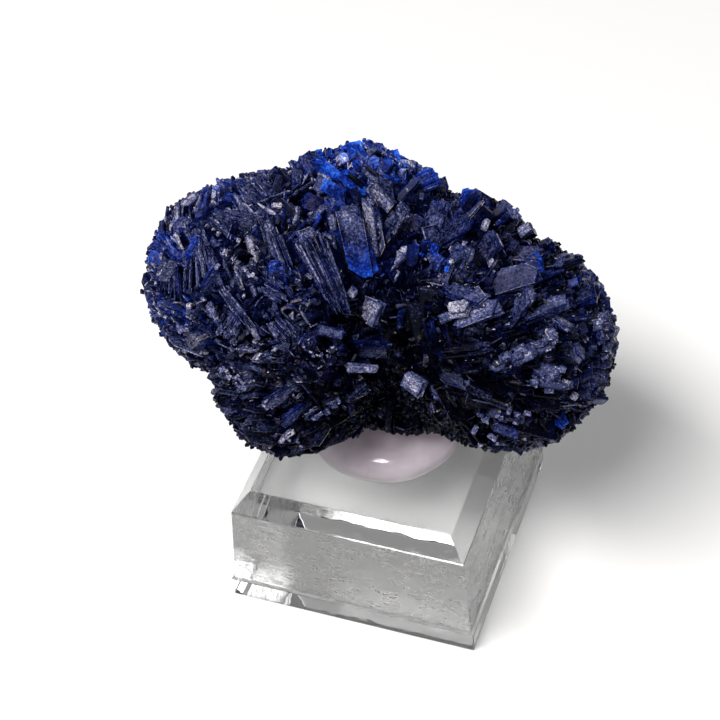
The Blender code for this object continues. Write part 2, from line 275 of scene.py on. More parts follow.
class Tree:
    """A material's node tree, with its Principled BSDF ready."""

    def __init__(self, name: str) -> None:
        """Makes the material with that name."""
        self.material = bpy.data.materials.new(name)
        self.material.use_nodes = True
        self.nodes = self.material.node_tree.nodes
        self.shader = self.nodes["Principled BSDF"]

    def add(
        self,
        kind: str,
        settings: dict[str, Any] | None = None,
        inputs: dict[str | int, Operand] | None = None,
        output: str | int = 0,
    ) -> Socket:
        """Adds a node.

        Args:
            kind: The node's type.
            settings: Its own properties, set first. "stops" are a ramp's places and colours.
            inputs: Values or sockets, by the input's name or number.
            output: Which of its outputs is wanted.

        Returns:
            That output.
        """
        node = self.nodes.new(kind)
        for key, value in (settings or {}).items():
            if key == "stops":
                self._set_stops(node.color_ramp, value)
            else:
                setattr(node, key, value)
        for key, value in (inputs or {}).items():
            self.set(node, key, value)
        return Socket(self, node.outputs[output])

    def set(self, node: bpy.types.Node, key: str | int, value: Operand) -> None:
        """Gives an input a value, or links a socket to it.

        Args:
            node: The node.
            key: The input's name or number.
            value: The value or socket.
        """
        if isinstance(value, Socket):
            self.material.node_tree.links.new(value.output, node.inputs[key])
        else:
            node.inputs[key].default_value = value

    @staticmethod
    def _set_stops(ramp: bpy.types.ColorRamp, stops: Sequence[tuple[float, Colour]]) -> None:
        """Puts the ramp's stops at their places.

        Args:
            ramp: A ramp with two stops.
            stops: Places from 0 to 1, and their colours.
        """
        while len(ramp.elements) < len(stops):
            ramp.elements.new(0.5)
        for element, (place, colour) in zip(ramp.elements, stops):
            element.position = place
            element.color = (*colour, 1.0)

    def mix(self, share: Operand, first: Operand, second: Operand) -> Socket:
        """The first colour turned into the second by that share."""
        settings = {"data_type": "RGBA", "clamp_factor": True}
        return self.add("ShaderNodeMix", settings, {0: share, 6: first, 7: second}, output=2)

    def noise(
        self, place: Socket, scale: float, detail: float = 3.0, roughness: float = 0.55
    ) -> Socket:
        """Noise from 0 to 1 at that many lumps to a unit of the place."""
        inputs = {"Vector": place, "Scale": scale, "Detail": detail, "Roughness": roughness}
        return self.add("ShaderNodeTexNoise", None, inputs)

    def stretched(self, place: Socket, factors: Triple) -> Socket:
        """The place with each of its axes multiplied by its factor."""
        return self.add("ShaderNodeVectorMath", {"operation": "MULTIPLY"}, {0: place, 1: factors})

    def ramp(self, stops: Sequence[tuple[float, Colour]], place: Operand) -> Socket:
        """The colour at that place on a ramp with those stops."""
        return self.add("ShaderNodeValToRGB", {"stops": stops}, {"Fac": place})

    def bump(self, strength: float, relief: float, height: Operand) -> Socket:
        """The normal of a surface with relief: its depth in metres for each unit of height."""
        inputs = {"Strength": strength, "Distance": relief, "Height": height}
        return self.add("ShaderNodeBump", None, inputs)

    def channel(self, colour: Socket, number: int) -> Socket:
        """Red, green or blue of the colour, numbered from 0."""
        return self.add("ShaderNodeSeparateColor", None, {0: colour}, output=number)

    def height_over_floor(self, place: Socket) -> Socket:
        """The height of the place."""
        return self.add("ShaderNodeSeparateXYZ", None, {0: place}, output="Z")

    def object_place(self) -> Socket:
        """The place on the piece, in metres."""
        return self.add("ShaderNodeTexCoord", output="Object")

    def surface(self, **inputs: Operand) -> Material:
        """Sets the Principled BSDF's inputs.

        Args:
            inputs: Values or sockets, by the input's name with underscores for its spaces.

        Returns:
            The finished material.
        """
        for key, value in inputs.items():
            self.set(self.shader, key.replace("_", " "), value)
        return self.material


def rgba(colour: Colour) -> tuple[float, float, float, float]:
    """An opaque colour."""
    return (*colour, 1.0)


# ---- Finishes ----


@dataclass(frozen=True)
class AzuriteFinish:
    """Azurite: navy to electric blue crystal, with a grainy painted sheen in places and some stain.

    The habit attribute gives the depth of blue (red channel), the stain (green channel) and a
    change of the painted sheen (blue channel), and the face attribute how much painted sheen a
    face has: lilac-grey colour that stands in for light glancing off the grainy faces. The grain
    map runs along and across each crystal in mm.

    Attributes:
        name: The material's name.
        blues: Colours of the crystal, from the darkest depth of blue to the brightest.
        sheens: Colours of the painted sheen, from the thinnest to the thickest.
        brown: Colour of a light stain.
        ochre: Colour of a heavy stain.
        ior: Index of refraction.
        dull: Level of the crystal's own gloss.
        gleam: Tint of that gloss.
        polish: Roughness of the bare crystal.
        satin: Roughness where the painted sheen is.
        glaze: Roughness of the glints' clear skin.
        relief: Height of the finest relief in metres.
        lumps: Clouds to a metre.
        fibres: How much finer the streaks are along and across the grain.
        vein: Range of the squared noise in which a vein fades out.
        sheen_range: Range in which the painted sheen comes in.
        soil: Range in which the stain comes in.
        burn: Range in which it turns from brown to ochre.
        spark: Range in which a glint comes in.
        most: Most that painted sheen, stain and glint cover.
    """

    name: str = "azurite"
    blues: tuple[tuple[float, Colour], ...] = (
        (0.0, (0.0003, 0.0004, 0.0015)),
        (0.24, (0.0008, 0.0016, 0.0150)),
        (0.48, (0.0020, 0.0060, 0.0550)),
        (0.66, (0.0040, 0.0180, 0.2000)),
        (0.84, (0.0080, 0.0800, 0.5800)),
        (1.0, (0.0600, 0.2200, 0.9000)),
    )
    sheens: tuple[tuple[float, Colour], ...] = (
        (0.0, (0.0070, 0.0090, 0.0340)),
        (0.40, (0.0310, 0.0400, 0.1100)),
        (0.70, (0.1000, 0.1120, 0.2300)),
        (1.0, (0.4700, 0.4500, 0.5500)),
    )
    brown: Colour = (0.070, 0.050, 0.055)
    ochre: Colour = (0.380, 0.175, 0.110)
    ior: float = 1.60
    dull: float = 0.06
    gleam: Colour = (0.55, 0.62, 1.0)
    polish: float = 0.22
    satin: float = 0.45
    glaze: float = 0.18
    relief: float = 0.00005
    lumps: float = 520.0
    fibres: Triple = (1.1, 4.0, 1.0)
    vein: Pair = (0.0002, 0.005)
    sheen_range: Pair = (0.16, 0.58)
    soil: Pair = (0.10, 0.70)
    burn: Pair = (0.6, 1.1)
    spark: Pair = (0.58, 0.68)
    most: Triple = (0.92, 0.65, 0.6)

    def material(self) -> Material:
        """Builds the finish.

        The blue's tone and the painted sheen's level are the attributes with clouds, streaks and
        flecks added to them. That level brings in the painted sheen, less in its veins, and the
        stain lies over both. Flecks and streaks stand out as fine relief.

        Returns:
            The material.
        """
        tree = Tree(self.name)
        place = tree.object_place()
        grain = tree.add("ShaderNodeUVMap", {"uv_map": "grain"})
        habit = tree.add("ShaderNodeAttribute", {"attribute_name": "habit"}, output="Color")
        depth, stain, change = (tree.channel(habit, number) for number in range(3))
        frost = tree.add("ShaderNodeAttribute", {"attribute_name": "frost"}, output="Fac") + change
        most_sheen, most_rust, most_glint = self.most

        streaks = tree.noise(tree.stretched(grain, self.fibres), 1.0, 4.0, 0.6) - 0.5
        flecks = tree.noise(grain, 3.0, 4.0, 0.75) - 0.5
        lines = tree.noise(grain, 2.1, 2.0) - 0.5
        veins = (lines * lines).between(*self.vein)
        clouds = tree.noise(place, self.lumps, 3.0) - 0.5
        tone = depth + clouds * 1.1 + streaks * 0.4 + flecks * 1.8
        blue = tree.ramp(self.blues, tone * 0.8)
        # Painted sheen: where a face has much of it, the lilac-grey stands in for light glancing
        # off its grainy surface.
        sheen_level = frost + clouds * 0.9 + streaks * 0.5 + flecks * 2.2
        sheen_share = sheen_level.between(*self.sheen_range) * (veins * 0.75 + 0.25)
        sheen_colour = tree.ramp(self.sheens, sheen_level * 0.8)
        colour = tree.mix(sheen_share * most_sheen, blue, sheen_colour)
        rust = (stain + clouds * 1.2 + flecks * 1.2).between(*self.soil)
        earth = tree.mix(stain.between(*self.burn), rgba(self.brown), rgba(self.ochre))
        colour = tree.mix(rust * most_rust, colour, earth)
        roughness = sheen_share * (self.satin - self.polish) + self.polish
        glints = (tree.noise(grain, 1.3, 3.0, 0.7) + clouds * 0.4).between(*self.spark)
        glints = glints * (1.0 - stain.between(0.05, 0.20))
        height = streaks * 0.7 + flecks * (sheen_share * 0.8 + 0.5) + veins * 0.15
        bump = tree.bump(0.8, self.relief, height)
        return tree.surface(
            Base_Color=colour,
            Roughness=roughness,
            Normal=bump,
            IOR=self.ior,
            Specular_IOR_Level=self.dull,
            Specular_Tint=rgba(self.gleam),
            Coat_Weight=glints * most_glint,
            Coat_Roughness=self.glaze,
            Coat_IOR=self.ior,
        )


@dataclass(frozen=True)
class GlueFinish:
    """Milky adhesive: a glossy skin over a cloudy, slightly see-through body with a paler foot.

    The paler foot is a painted highlight, for light caught at its rim.

    Attributes:
        name: The material's name.
        milk: Colour of most of it.
        cloud: Colour of its clouds.
        painted_foot_highlight: Colour of the painted highlight on its foot.
        foot: Heights in metres between which the painted highlight fades out.
        ior: Index of refraction.
        clear: Share of the light that passes through.
        depth: Share of the light that spreads inside.
        reach: How far red, green and blue spread, in metres.
    """

    name: str = "milky_glue"
    milk: Colour = (0.70, 0.61, 0.68)
    cloud: Colour = (0.82, 0.74, 0.81)
    painted_foot_highlight: Colour = (0.94, 0.88, 0.93)
    foot: Pair = (0.01925, 0.01965)
    ior: float = 1.48
    clear: float = 0.35
    depth: float = 0.6
    reach: Triple = (0.004, 0.0036, 0.0038)

    def material(self) -> Material:
        """Builds the finish: clouds in the colour and gloss, and a slow ripple.

        Returns:
            The material.
        """
        tree = Tree(self.name)
        place = tree.object_place()
        height = tree.height_over_floor(place)
        clouds = tree.noise(place, 260.0, 4.0)
        colour = tree.mix(clouds.between(0.35, 0.7), rgba(self.milk), rgba(self.cloud))
        # Painted highlight: a paler band at the foot, for light caught at the bead's rim.
        colour = tree.mix(1.0 - height.between(*self.foot), colour, rgba(self.painted_foot_highlight))
        ripple = tree.noise(place, 190.0, 2.0)
        bump = tree.bump(0.25, 0.0004, ripple)
        return tree.surface(
            Base_Color=colour,
            Roughness=clouds.between(0.3, 0.8) * 0.08 + 0.07,
            Normal=bump,
            IOR=self.ior,
            Transmission_Weight=self.clear,
            Subsurface_Weight=self.depth,
            Subsurface_Radius=self.reach,
            Subsurface_Scale=1.0,
        )


@dataclass(frozen=True)
class AcrylicFinish:
    """Clear acrylic: polished, but with the mottled scuffs of the cutter on its leaning sides.

    Their brownish grey tint is a painted reflection.

    The sides are told by their height: between the plinth and the bevel there are only sides.

    Attributes:
        name: The material's name.
        tint: Colour of the clear plastic.
        painted_reflection: Brownish grey that the scuffs are tinted with: a painted reflection.
        sides: Lowest and highest height of the sides in metres.
        blend: Half of the height in which they fade out, in metres.
        ior: Index of refraction.
    """

    name: str = "clear_acrylic"
    tint: Colour = (0.985, 0.992, 0.990)
    painted_reflection: Colour = (0.80, 0.77, 0.74)
    sides: Pair = (0.0035, 0.0159)
    blend: float = 0.0001
    ior: float = 1.49

    def material(self) -> Material:
        """Builds the finish: waves all over, and mottling and fine level marks on the sides.

        The mottling's brownish grey is a painted reflection.

        Returns:
            The material.
        """
        tree = Tree(self.name)
        place = tree.object_place()
        height = tree.height_over_floor(place)
        low, high = (height.between(edge - self.blend, edge + self.blend) for edge in self.sides)
        side = low * (1.0 - high)
        waves = tree.noise(tree.stretched(place, (1.0, 1.0, 2.5)), 160.0, 2.0)
        mottle = tree.noise(tree.stretched(place, (1.0, 1.0, 2.2)), 420.0, 5.0, 0.62)
        marks = tree.noise(tree.stretched(place, (0.15, 0.15, 6.0)), 700.0, 2.0)
        scuffs_and_reflection = side * mottle.between(0.38, 0.66)
        relief = waves * 0.4 + side * (mottle * 1.2 + marks * 0.3)
        bump = tree.bump(0.25, 0.0003, relief)
        return tree.surface(
            # Painted reflection: the mottled sides are tinted brownish grey; their roughness and
            # relief are the scuffs.
            Base_Color=tree.mix(scuffs_and_reflection * 0.6, rgba(self.tint), rgba(self.painted_reflection)),
            Roughness=scuffs_and_reflection * 0.30 + side * 0.06,
            Normal=bump,
            IOR=self.ior,
            Transmission_Weight=1.0,
        )


@dataclass(frozen=True)
class FloorFinish:
    """A matt white table top.

    Attributes:
        name: The material's name.
        white: Its colour.
    """

    name: str = "table_white"
    white: Colour = (0.86, 0.86, 0.86)

    def material(self) -> Material:
        """The finish: one colour, and no gloss."""
        return Tree(self.name).surface(Base_Color=rgba(self.white), Roughness=0.8)


class Look(Enum):
    """Looks of a crystal that stands out.

    The values are the depth of blue, the painted sheen, the stain, how much deeper the blue is at
    the free end than in the middle, and how much more painted sheen there is. PEARL and COPPER
    have so much painted sheen that they show as painted glints.
    """

    BLACK = (0.10, 0.05, 0.0, 0.05, 0.0)
    NAVY = (0.34, 0.20, 0.0, 0.10, 0.0)
    STEEL = (0.34, 0.54, 0.0, 0.0, 0.05)
    SATIN = (0.34, 0.68, 0.0, 0.0, 0.05)
    LILAC = (0.42, 0.84, 0.0, 0.0, 0.0)
    PEARL = (0.40, 1.20, 0.0, 0.0, 0.0)
    ROYAL = (0.68, 0.14, 0.0, 0.10, 0.0)
    ELECTRIC = (0.90, -0.10, 0.0, -0.06, 0.0)
    BLUE_FOOT = (0.64, 0.34, 0.0, -0.22, 0.42)
    BROWN = (0.42, 0.44, 0.28, 0.10, 0.0)
    COPPER = (0.26, 1.00, 0.60, 0.0, 0.0)
    OCHRE = (0.20, 0.30, 1.20, 0.0, 0.0)


# ---- The cluster's layout ----


@dataclass(frozen=True)
class Display:
    """The frame that the cluster is laid out in.

    Attributes:
        azimuth: How far it is turned from facing the front, in degrees.
        elevation: How far its front looks up, in degrees.
        roll: How far its right dips, in degrees.
        centre: Its middle in the row frame, in mm.
    """

    azimuth: float = 23.75
    elevation: float = 45.8
    roll: float = 6.2
    centre: Triple = (-0.4, 4.1, 39.7)

    def axes(self) -> Array:
        """Its axes in the row frame.

        Returns:
            Right, up and front as the rows of a matrix.
        """
        turn, rise, roll = np.radians([self.azimuth, self.elevation, self.roll])
        sin_t, cos_t, sin_r, cos_r = math.sin(turn), math.cos(turn), math.sin(rise), math.cos(rise)
        level = np.array([cos_t, sin_t, 0.0])
        steep = np.array([-sin_t * sin_r, cos_t * sin_r, cos_r])
        front = np.array([sin_t * cos_r, -cos_t * cos_r, sin_r])
        right = math.cos(roll) * level - math.sin(roll) * steep
        up = math.sin(roll) * level + math.cos(roll) * steep
        return np.array([right, up, front])

    def to_row(self, points: Array) -> Array:
        """Places in the display frame as places in the row frame, both in mm."""
        return np.array(self.centre) + points @ self.axes()


DISPLAY = Display()


@dataclass(frozen=True)
class Lobe:
    """An ellipsoidal swelling of the cluster.

    Attributes:
        centre: Its middle in the display frame, in mm.
        radii: Its radii along that frame's axes.
    """

    centre: Triple
    radii: Triple

    def depth(self, points: Array) -> Array:
        """0 at the centre, 1 on the surface and more outside."""
        return np.linalg.norm((points - np.array(self.centre)) / np.array(self.radii), axis=-1)

    def normal(self, points: Array) -> Array:
        """The outward normal of the ellipsoid through each point."""
        return unit((points - np.array(self.centre)) / np.array(self.radii) ** 2)

    def exit_along(self, start: Array, directions: Array) -> Array:
        """How far each ray from start goes until it leaves the lobe, or 0 where it misses.

        It is the larger root t of |(start + t d - centre) / radii| = 1.

        Args:
            start: Where the rays begin.
            directions: The directions d, as rows.

        Returns:
            One length for each ray, in mm.
        """
        offset = (start - np.array(self.centre)) / np.array(self.radii)
        scaled = directions / np.array(self.radii)
        square = (scaled**2).sum(axis=-1)
        half = scaled @ offset
        inside = half**2 - square * (offset @ offset - 1.0)
        return np.where(inside > 0.0, (-half + np.sqrt(np.maximum(inside, 0.0))) / square, 0.0)


LOBES = (
    Lobe((1.5, -0.5, -4.5), (12.5, 12.0, 11.5)),
    Lobe((-13.9, 2.3, -1.0), (14.0, 12.0, 14.0)),
    Lobe((-10.5, -9.5, 1.0), (8.8, 9.4, 10.5)),
    Lobe((-2.5, 7.6, -2.0), (11.4, 10.6, 12.0)),
    Lobe((10.6, 1.0, -1.0), (9.6, 10.4, 13.0)),
    Lobe((15.3, -5.4, -1.0), (12.6, 12.2, 14.5)),
    Lobe((1.2, -10.8, -7.2), (9.0, 7.2, 7.6)),
)


@dataclass(frozen=True)
class Zone:
    """A region of the display side with its own looks, strongest in its middle.

    Attributes:
        right: Its middle, to the right of the cluster's.
        up: Its middle, above the cluster's.
        reach: How far it goes.
        depth: Depth of blue.
        frost: How much painted sheen the crystals have.
        druse: Share of small blocks among the crystals.
    """

    right: float
    up: float
    reach: float
    depth: float
    frost: float
    druse: float

    def weight(self, points: Array) -> Array:
        """A bell curve of the distance from the zone's middle, on the display side."""
        flat = np.hypot(points[:, 0] - self.right, points[:, 1] - self.up) / self.reach
        return np.exp(-(flat**2)) * smooth_step(points[:, 2], -7.0, -1.0)


ZONES = (
    Zone(-18.5, 4.0, 9.0, 0.42, 0.52, 0.30),
    Zone(-23.5, 10.2, 4.0, 0.52, 0.66, 0.60),
    Zone(-26.8, 7.0, 3.5, 0.42, 0.20, 0.35),
    Zone(-16.6, 3.4, 2.4, 0.14, 0.26, 0.20),
    Zone(0.6, 16.6, 6.5, 0.78, 0.20, 1.00),
    Zone(-3.5, 5.9, 3.0, 0.80, 0.25, 0.05),
    Zone(-3.7, 9.5, 6.0, 0.44, 0.64, 0.05),
    Zone(12.3, 4.7, 8.0, 0.36, 0.40, 0.08),
    Zone(16.0, -6.0, 7.0, 0.32, 0.38, 0.12),
    # These four zones, in the dark middle and low on the cluster, are darker and have less painted
    # sheen: painted shade.
    Zone(3.0, -9.0, 6.5, -0.30, -0.38, 0.05),
    Zone(10.5, -16.0, 8.0, -0.12, -0.30, 0.30),
    Zone(-6.0, -16.0, 6.0, -0.04, -0.02, 0.30),
    Zone(-12.3, -12.0, 8.0, 0.00, 0.20, 0.25),
    Zone(26.0, -0.2, 4.5, 0.52, 0.42, 0.90),
    Zone(17.3, -17.0, 4.5, 0.36, 0.08, 0.60),
)
ELSEWHERE = Zone(0.0, 0.0, 1.0, 0.38, 0.32, 0.35)
ELSEWHERE_WEIGHT = 0.12
# Strength, size in mm and seed of the patches in the depth of blue, the painted sheen and
# the druse.
PATCHES = ((0.1, 6.0, 5), (0.1, 5.0, 8), (0.35, 7.0, 6))


def zone_values(points: Array) -> Array:
    """Depth of blue, painted sheen and share of druse at each place, as three columns.

    They are the zones' own values, weighed by their bell curves, with a plain value for the
    sides, the back and what lies between, and smooth random patches over all.

    Args:
        points: Places in the display frame, as rows.

    Returns:
        A row of the three for each place.
    """
    plain = np.full(len(points), ELSEWHERE_WEIGHT)
    weights = np.array([*(zone.weight(points) for zone in ZONES), plain])
    values = np.array([(zone.depth, zone.frost, zone.druse) for zone in (*ZONES, ELSEWHERE)])
    mixed = (weights.T @ values) / weights.sum(axis=0)[:, None]
    patches = [strength * lumps(points, size, seed) for strength, size, seed in PATCHES]
    return mixed + np.stack(patches, axis=1)


@dataclass
class Batch:
    """Many crystals, one to a row, in the display frame and in mm.

    Attributes:
        centre: Their middles.
        along: The directions that they grew in, which their lengths lie along.
        face: The normals of their broad sides.
        size: Length, width and thickness.
        look: The five values that a Look holds.
    """

    centre: Array
    along: Array
    face: Array
    size: Array
    look: Array

    def pick(self, chosen: Array) -> "Batch":
        """The crystals that the mask or list of numbers picks."""
        return Batch(*(values[chosen] for values in vars(self).values()))

    def repeated(self, times: int) -> "Batch":
        """Each crystal that many times in a row."""
        return self.pick(np.repeat(np.arange(len(self.centre)), times))

    @staticmethod
    def joined(*batches: "Batch") -> "Batch":
        """All the batches as one."""
        columns = zip(*(vars(batch).values() for batch in batches))
        return Batch(*(np.concatenate(column) for column in columns))

    def across(self) -> Array:
        """The third axis of each crystal, across its blade."""
        return np.cross(self.face, self.along)

    def tip(self) -> Array:
        """The free end of each crystal."""
        return self.centre + self.along * self.size[:, :1] * 0.5

    def deepened(self, extra: Array) -> "Batch":
        """The crystals made longer at their roots.

        Args:
            extra: How much longer each gets, in mm.

        Returns:
            A new batch.
        """
        size = self.size.copy()
        size[:, 0] += extra
        return replace(self, centre=self.centre - self.along * (extra / 2.0)[:, None], size=size)

    def corners(self) -> Array:
        """The corners of each crystal's broad side.

        Returns:
            An array by crystal, corner and direction.
        """
        along = self.along * self.size[:, :1] * 0.5
        across = self.across() * self.size[:, 1:2] * 0.5
        steps = [along + across, along - across, across - along, -along - across]
        return self.centre[:, None] + np.stack(steps, 1)

    def moved(self, shares: Array) -> Array:
        """The place that is that share of its length, width and thickness off each one's middle."""
        forward, sideways, out = (shares * self.size).T[:, :, None]
        return self.centre + self.along * forward + self.across() * sideways + self.face * out

    def turned(self, rng: Dice, spin: float, tilt: float) -> "Batch":
        """The crystals turned at random by some degrees.

        Args:
            rng: The dice.
            spin: Spread of the turn about the normal of the broad side.
            tilt: Spread of the tilt of the growth axis and of the broad side.

        Returns:
            A new batch.
        """
        angles = np.radians(rng.normal(0.0, (spin, tilt, tilt), (len(self.centre), 3)))
        along = unit(self.along + self.across() * angles[:, :1] + self.face * angles[:, 1:2])
        face = unit(square_to(along, self.face + self.across() * angles[:, 2:]))
        return replace(self, along=along, face=face)


@dataclass(frozen=True)
class Outline:
    """The outline of the cluster on its display side: radii about its middle, in mm.

    Attributes:
        radii: At even steps of angle, from the right round by the top.
        inset: How far inside it the body stays that the crystals grow from.
    """

    radii: tuple[float, ...]
    inset: float = 1.8

    def excess(self, points: Array) -> Array:
        """How far each point is outside the outline, in the display plane.

        Args:
            points: Places in the display frame.

        Returns:
            A length in mm for each, below 0 inside.
        """
        angle = np.arctan2(points[..., 1], points[..., 0]) % FULL_TURN
        steps = np.linspace(0.0, FULL_TURN, len(self.radii) + 1)
        radius = np.interp(angle, steps, (*self.radii, self.radii[0]))
        return np.hypot(points[..., 0], points[..., 1]) - radius

    @staticmethod
    def inwards(points: Array, out: Array) -> Array:
        """The points moved that far to the middle, in the display plane, where it is over 0."""
        return points - unit(points * (1.0, 1.0, 0.0)) * np.maximum(out, 0.0)[:, None]

    def body(self, points: Array, more: float = 0.0) -> Array:
        """The points, with those moved in that are nearer to the outline than inset and more."""
        return self.inwards(points, self.excess(points) + self.inset + more)

    def drawn_in(self, crystals: Batch) -> Batch:
        """The crystals, each moved in by what its outermost corner is out."""
        out = self.excess(crystals.corners()).max(axis=1)
        return replace(crystals, centre=self.inwards(crystals.centre, out))


OUTLINE = Outline(
    (
        29.0, 24.8, 20.8, 19.8, 17.8, 16.5, 17.2, 18.1, 20.1, 19.5, 20.4, 21.9, 23.8, 28.3, 29.4,
        29.5, 27.0, 24.2, 24.0, 24.6, 22.9, 19.1, 16.9, 17.5, 18.2, 20.2, 26.6, 28.9, 30.6, 30.2,
    )
)


SIDES = 6


@dataclass(frozen=True)
class Habit:
    """Shape of a crystal: a six-sided outline, carried through flat levels.

    The outline's points are, in halves of the length and width, a tip (1, t), the shoulders
    (s, w) and (-s, w), the root (-1, t), and the shoulders of the other side. Each s, w and t is
    a draw of its own.

    Attributes:
        levels: From the broad top down, each level's height and inset in thicknesses, how much
        deeper its blue is, how much more painted sheen it has, and its share of the stain.
        shoulder: Range of s.
        girth: Range of w.
        tip: Most that the tip is off the middle, t.
        satin: Share of the painted sheen on the top, on the other bands of faces, and underneath.
        uneven: How much the painted sheen differs from face to face.
        bright: Share of the bevel's faces that get a painted glint, and how much more painted
        sheen they have.
        bevel: Most of the width that a level is inset by.
        apart: How far apart the crystals' places on the grain map are, in mm.
    """

    levels: tuple[tuple[float, ...], ...] = (
        (0.5, 1.3, 0.0, 0.08, 1.0),
        (0.5, 0.2, 0.08, -0.14, 0.35),
        (0.2, 0.0, 0.10, 0.0, 0.5),
        (-0.5, 0.15, 0.06, 0.0, 0.5),
    )
    shoulder: Pair = (0.62, 0.98)
    girth: Pair = (0.68, 1.0)
    tip: float = 0.75
    satin: tuple[float, ...] = (1.0, 1.0, 0.8, 0.3, 0.6)
    uneven: float = 0.08
    bright: Pair = (0.15, 0.75)
    bevel: float = 0.35
    apart: float = 400.0

    def outlines(self, count: int, rng: Dice) -> Array:
        """Draws the outlines of crystals.

        Args:
            count: How many.
            rng: The dice.

        Returns:
            An array by crystal, corner and direction, in halves of the length and width.
        """
        sides = rng.uniform(*self.shoulder, (count, 4))
        girths = rng.uniform(*self.girth, (count, 4))
        tips = rng.uniform(-self.tip, self.tip, (count, 2))
        whole = np.ones(count)
        along = [whole, sides[:, 0], -sides[:, 1], -whole, -sides[:, 2], sides[:, 3]]
        across = [tips[:, 0], girths[:, 0], girths[:, 1], tips[:, 1], -girths[:, 2], -girths[:, 3]]
        return np.stack([np.stack(along, 1), np.stack(across, 1)], axis=2)

    def frosted(self, frost: Array, rng: Dice) -> Array:
        """How much painted sheen each triangle has.

        A crystal's faces are its top, the bands between its levels and its underside. The top and
        the underside are four triangles each, and a face of a band is two.

        Args:
            frost: The painted sheen of each crystal, as a column.
            rng: The dice.

        Returns:
            A row of values for each crystal, in the order of its triangles.
        """
        bands = len(self.levels) - 1
        shares = self.satin[: bands + 1] + self.satin[-1:]
        satin = frost * np.repeat(shares, (1, *(SIDES,) * bands, 1))
        satin = satin + rng.normal(0.0, self.uneven, satin.shape)
        bevel = slice(SIDES * (bands - 2) + 1, SIDES * (bands - 1) + 1)
        # Painted glints: a share of the bevel's faces gets much more painted sheen.
        share, more = self.bright
        satin[:, bevel] += (rng.random((len(frost), SIDES)) < share) * more
        ends = np.repeat(satin[:, [0, -1]], SIDES - 2, axis=1)
        return np.concatenate([satin[:, 1:-1], satin[:, 1:-1], ends], axis=1)

    def shell(self, name: str, crystals: Batch, rng: Dice, limits: "Limits") -> Shell:
        """All the crystals as one mesh.

        Args:
            name: The piece's name.
            crystals: Where they are and how they look.
            rng: The dice for their outlines.
            limits: The room that they keep to.

        Returns:
            The mesh, without the crystals that would leave the room.
        """
        count, rings = len(crystals.centre), len(self.levels)
        outline = self.outlines(count, rng)
        heights, insets, blues, sheens, stains = np.array(self.levels).T
        width, thick = crystals.size[:, 1:2], crystals.size[:, 2:]
        inset = np.minimum(insets * thick, self.bevel * width)[:, :, None, None]
        flat = outline[:, None] * (crystals.size[:, None, None, :2] * 0.5 - inset)
        high = np.broadcast_to((heights * thick)[:, :, None], flat.shape[:3])
        frame = np.stack([crystals.along, crystals.across(), crystals.face], 1)
        local = np.concatenate([flat, high[..., None]], axis=3)
        places = crystals.centre[:, None, None] + np.einsum("nrpk,nkd->nrpd", local, frame)
        row = limits.moved_in(DISPLAY.to_row(places.reshape(count, -1, 3)))
        kept = limits.allows(row)
        row, flat, high = row[kept], flat[kept], high[kept]

        depth, frost, stain, deeper, tip_sheen = (crystals.look[kept].T)[:, :, None, None]
        reach = np.broadcast_to(outline[kept, None, :, 0], flat.shape[:3])
        # Where the last two look values are above 0 the roots are darker and have less painted
        # sheen than the free end: painted shade at the roots.
        blue = depth + deeper * reach + blues[:, None]
        sheen_share = tip_sheen * reach + sheens[:, None]
        habit = np.stack(np.broadcast_arrays(blue, stain * stains[:, None], sheen_share, 1.0), axis=-1)
        offsets = rng.uniform(0.0, self.apart, (len(row), 1, 1, 2))
        grain = flat + offsets + np.stack([0.0 * high, high], -1)
        firsts = np.arange(len(row)) * rings * SIDES
        triangles = rings_to_triangles(rings, SIDES)[None] + firsts[:, None, None]
        return Shell(
            name,
            row.reshape(-1, 3) * MM,
            triangles.reshape(-1, 3),
            grain.reshape(-1, 2),
            habit.reshape(-1, 4),
            self.frosted(frost[:, :, 0], rng).ravel(),
        )


BLADE = Habit()
BLOCK = Habit(
    levels=((0.5, 0.35, 0.0, 0.0, 1.0), (0.2, 0.0, 0.1, 0.0, 1.0), (-0.5, 0.0, 0.2, 0.0, 1.0)),
    shoulder=(0.6, 1.0),
    girth=(0.7, 1.0),
    tip=0.7,
)


@dataclass(frozen=True)
class Limits:
    """The room of the azurite, in mm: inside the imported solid's box, over the base and the bead.

    Attributes:
        low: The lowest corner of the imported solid's box.
        high: Its highest corner.
        bead: The bead of glue, with the profile (r / R)^p + (z / H)^p = 1.
        gap: How much its radius R and height H grow to make the room that is kept free for it.
        seat: The lowest height over the base.
        margin: How far inside the box the crystals stay.
    """

    low: Triple
    high: Triple
    bead: Bead
    gap: float = 0.3
    seat: float = 19.3
    margin: float = 0.02

    def bead_top(self, row: Array) -> Array:
        """Top of the room that is kept for the bead.

        Args:
            row: Places in the row frame, in mm.

        Returns:
            The height over each, which is the seat's beside the bead.
        """
        foot, power = np.array(self.bead.foot), self.bead.fullness
        radius = np.linalg.norm((row - foot)[..., :2], axis=-1) / (self.bead.radius + self.gap)
        rise = np.maximum(0.0, 1.0 - radius**power) ** (1.0 / power)
        return np.maximum(self.seat, foot[2] + (self.bead.height + self.gap) * rise)

    def allows(self, row: Array) -> Array:
        """Whether all corners of each crystal are over the base and the bead."""
        return (row[..., 2] >= self.bead_top(row)).all(axis=1)

    def moved_in(self, row: Array) -> Array:
        """Moves each crystal that is partly out of the box in.

        Args:
            row: Corners in the row frame, in mm, by crystal.

        Returns:
            The new corners.
        """
        under = np.maximum(np.array(self.low) + self.margin - row.min(axis=1), 0.0)
        over = np.maximum(row.max(axis=1) - np.array(self.high) + self.margin, 0.0)
        return row + (under - over)[:, None]

    def pulled_in(self, row: Array) -> Array:
        """The places, with what is out of the box put on its side."""
        return np.clip(row, np.array(self.low) + self.margin, np.array(self.high) - self.margin)


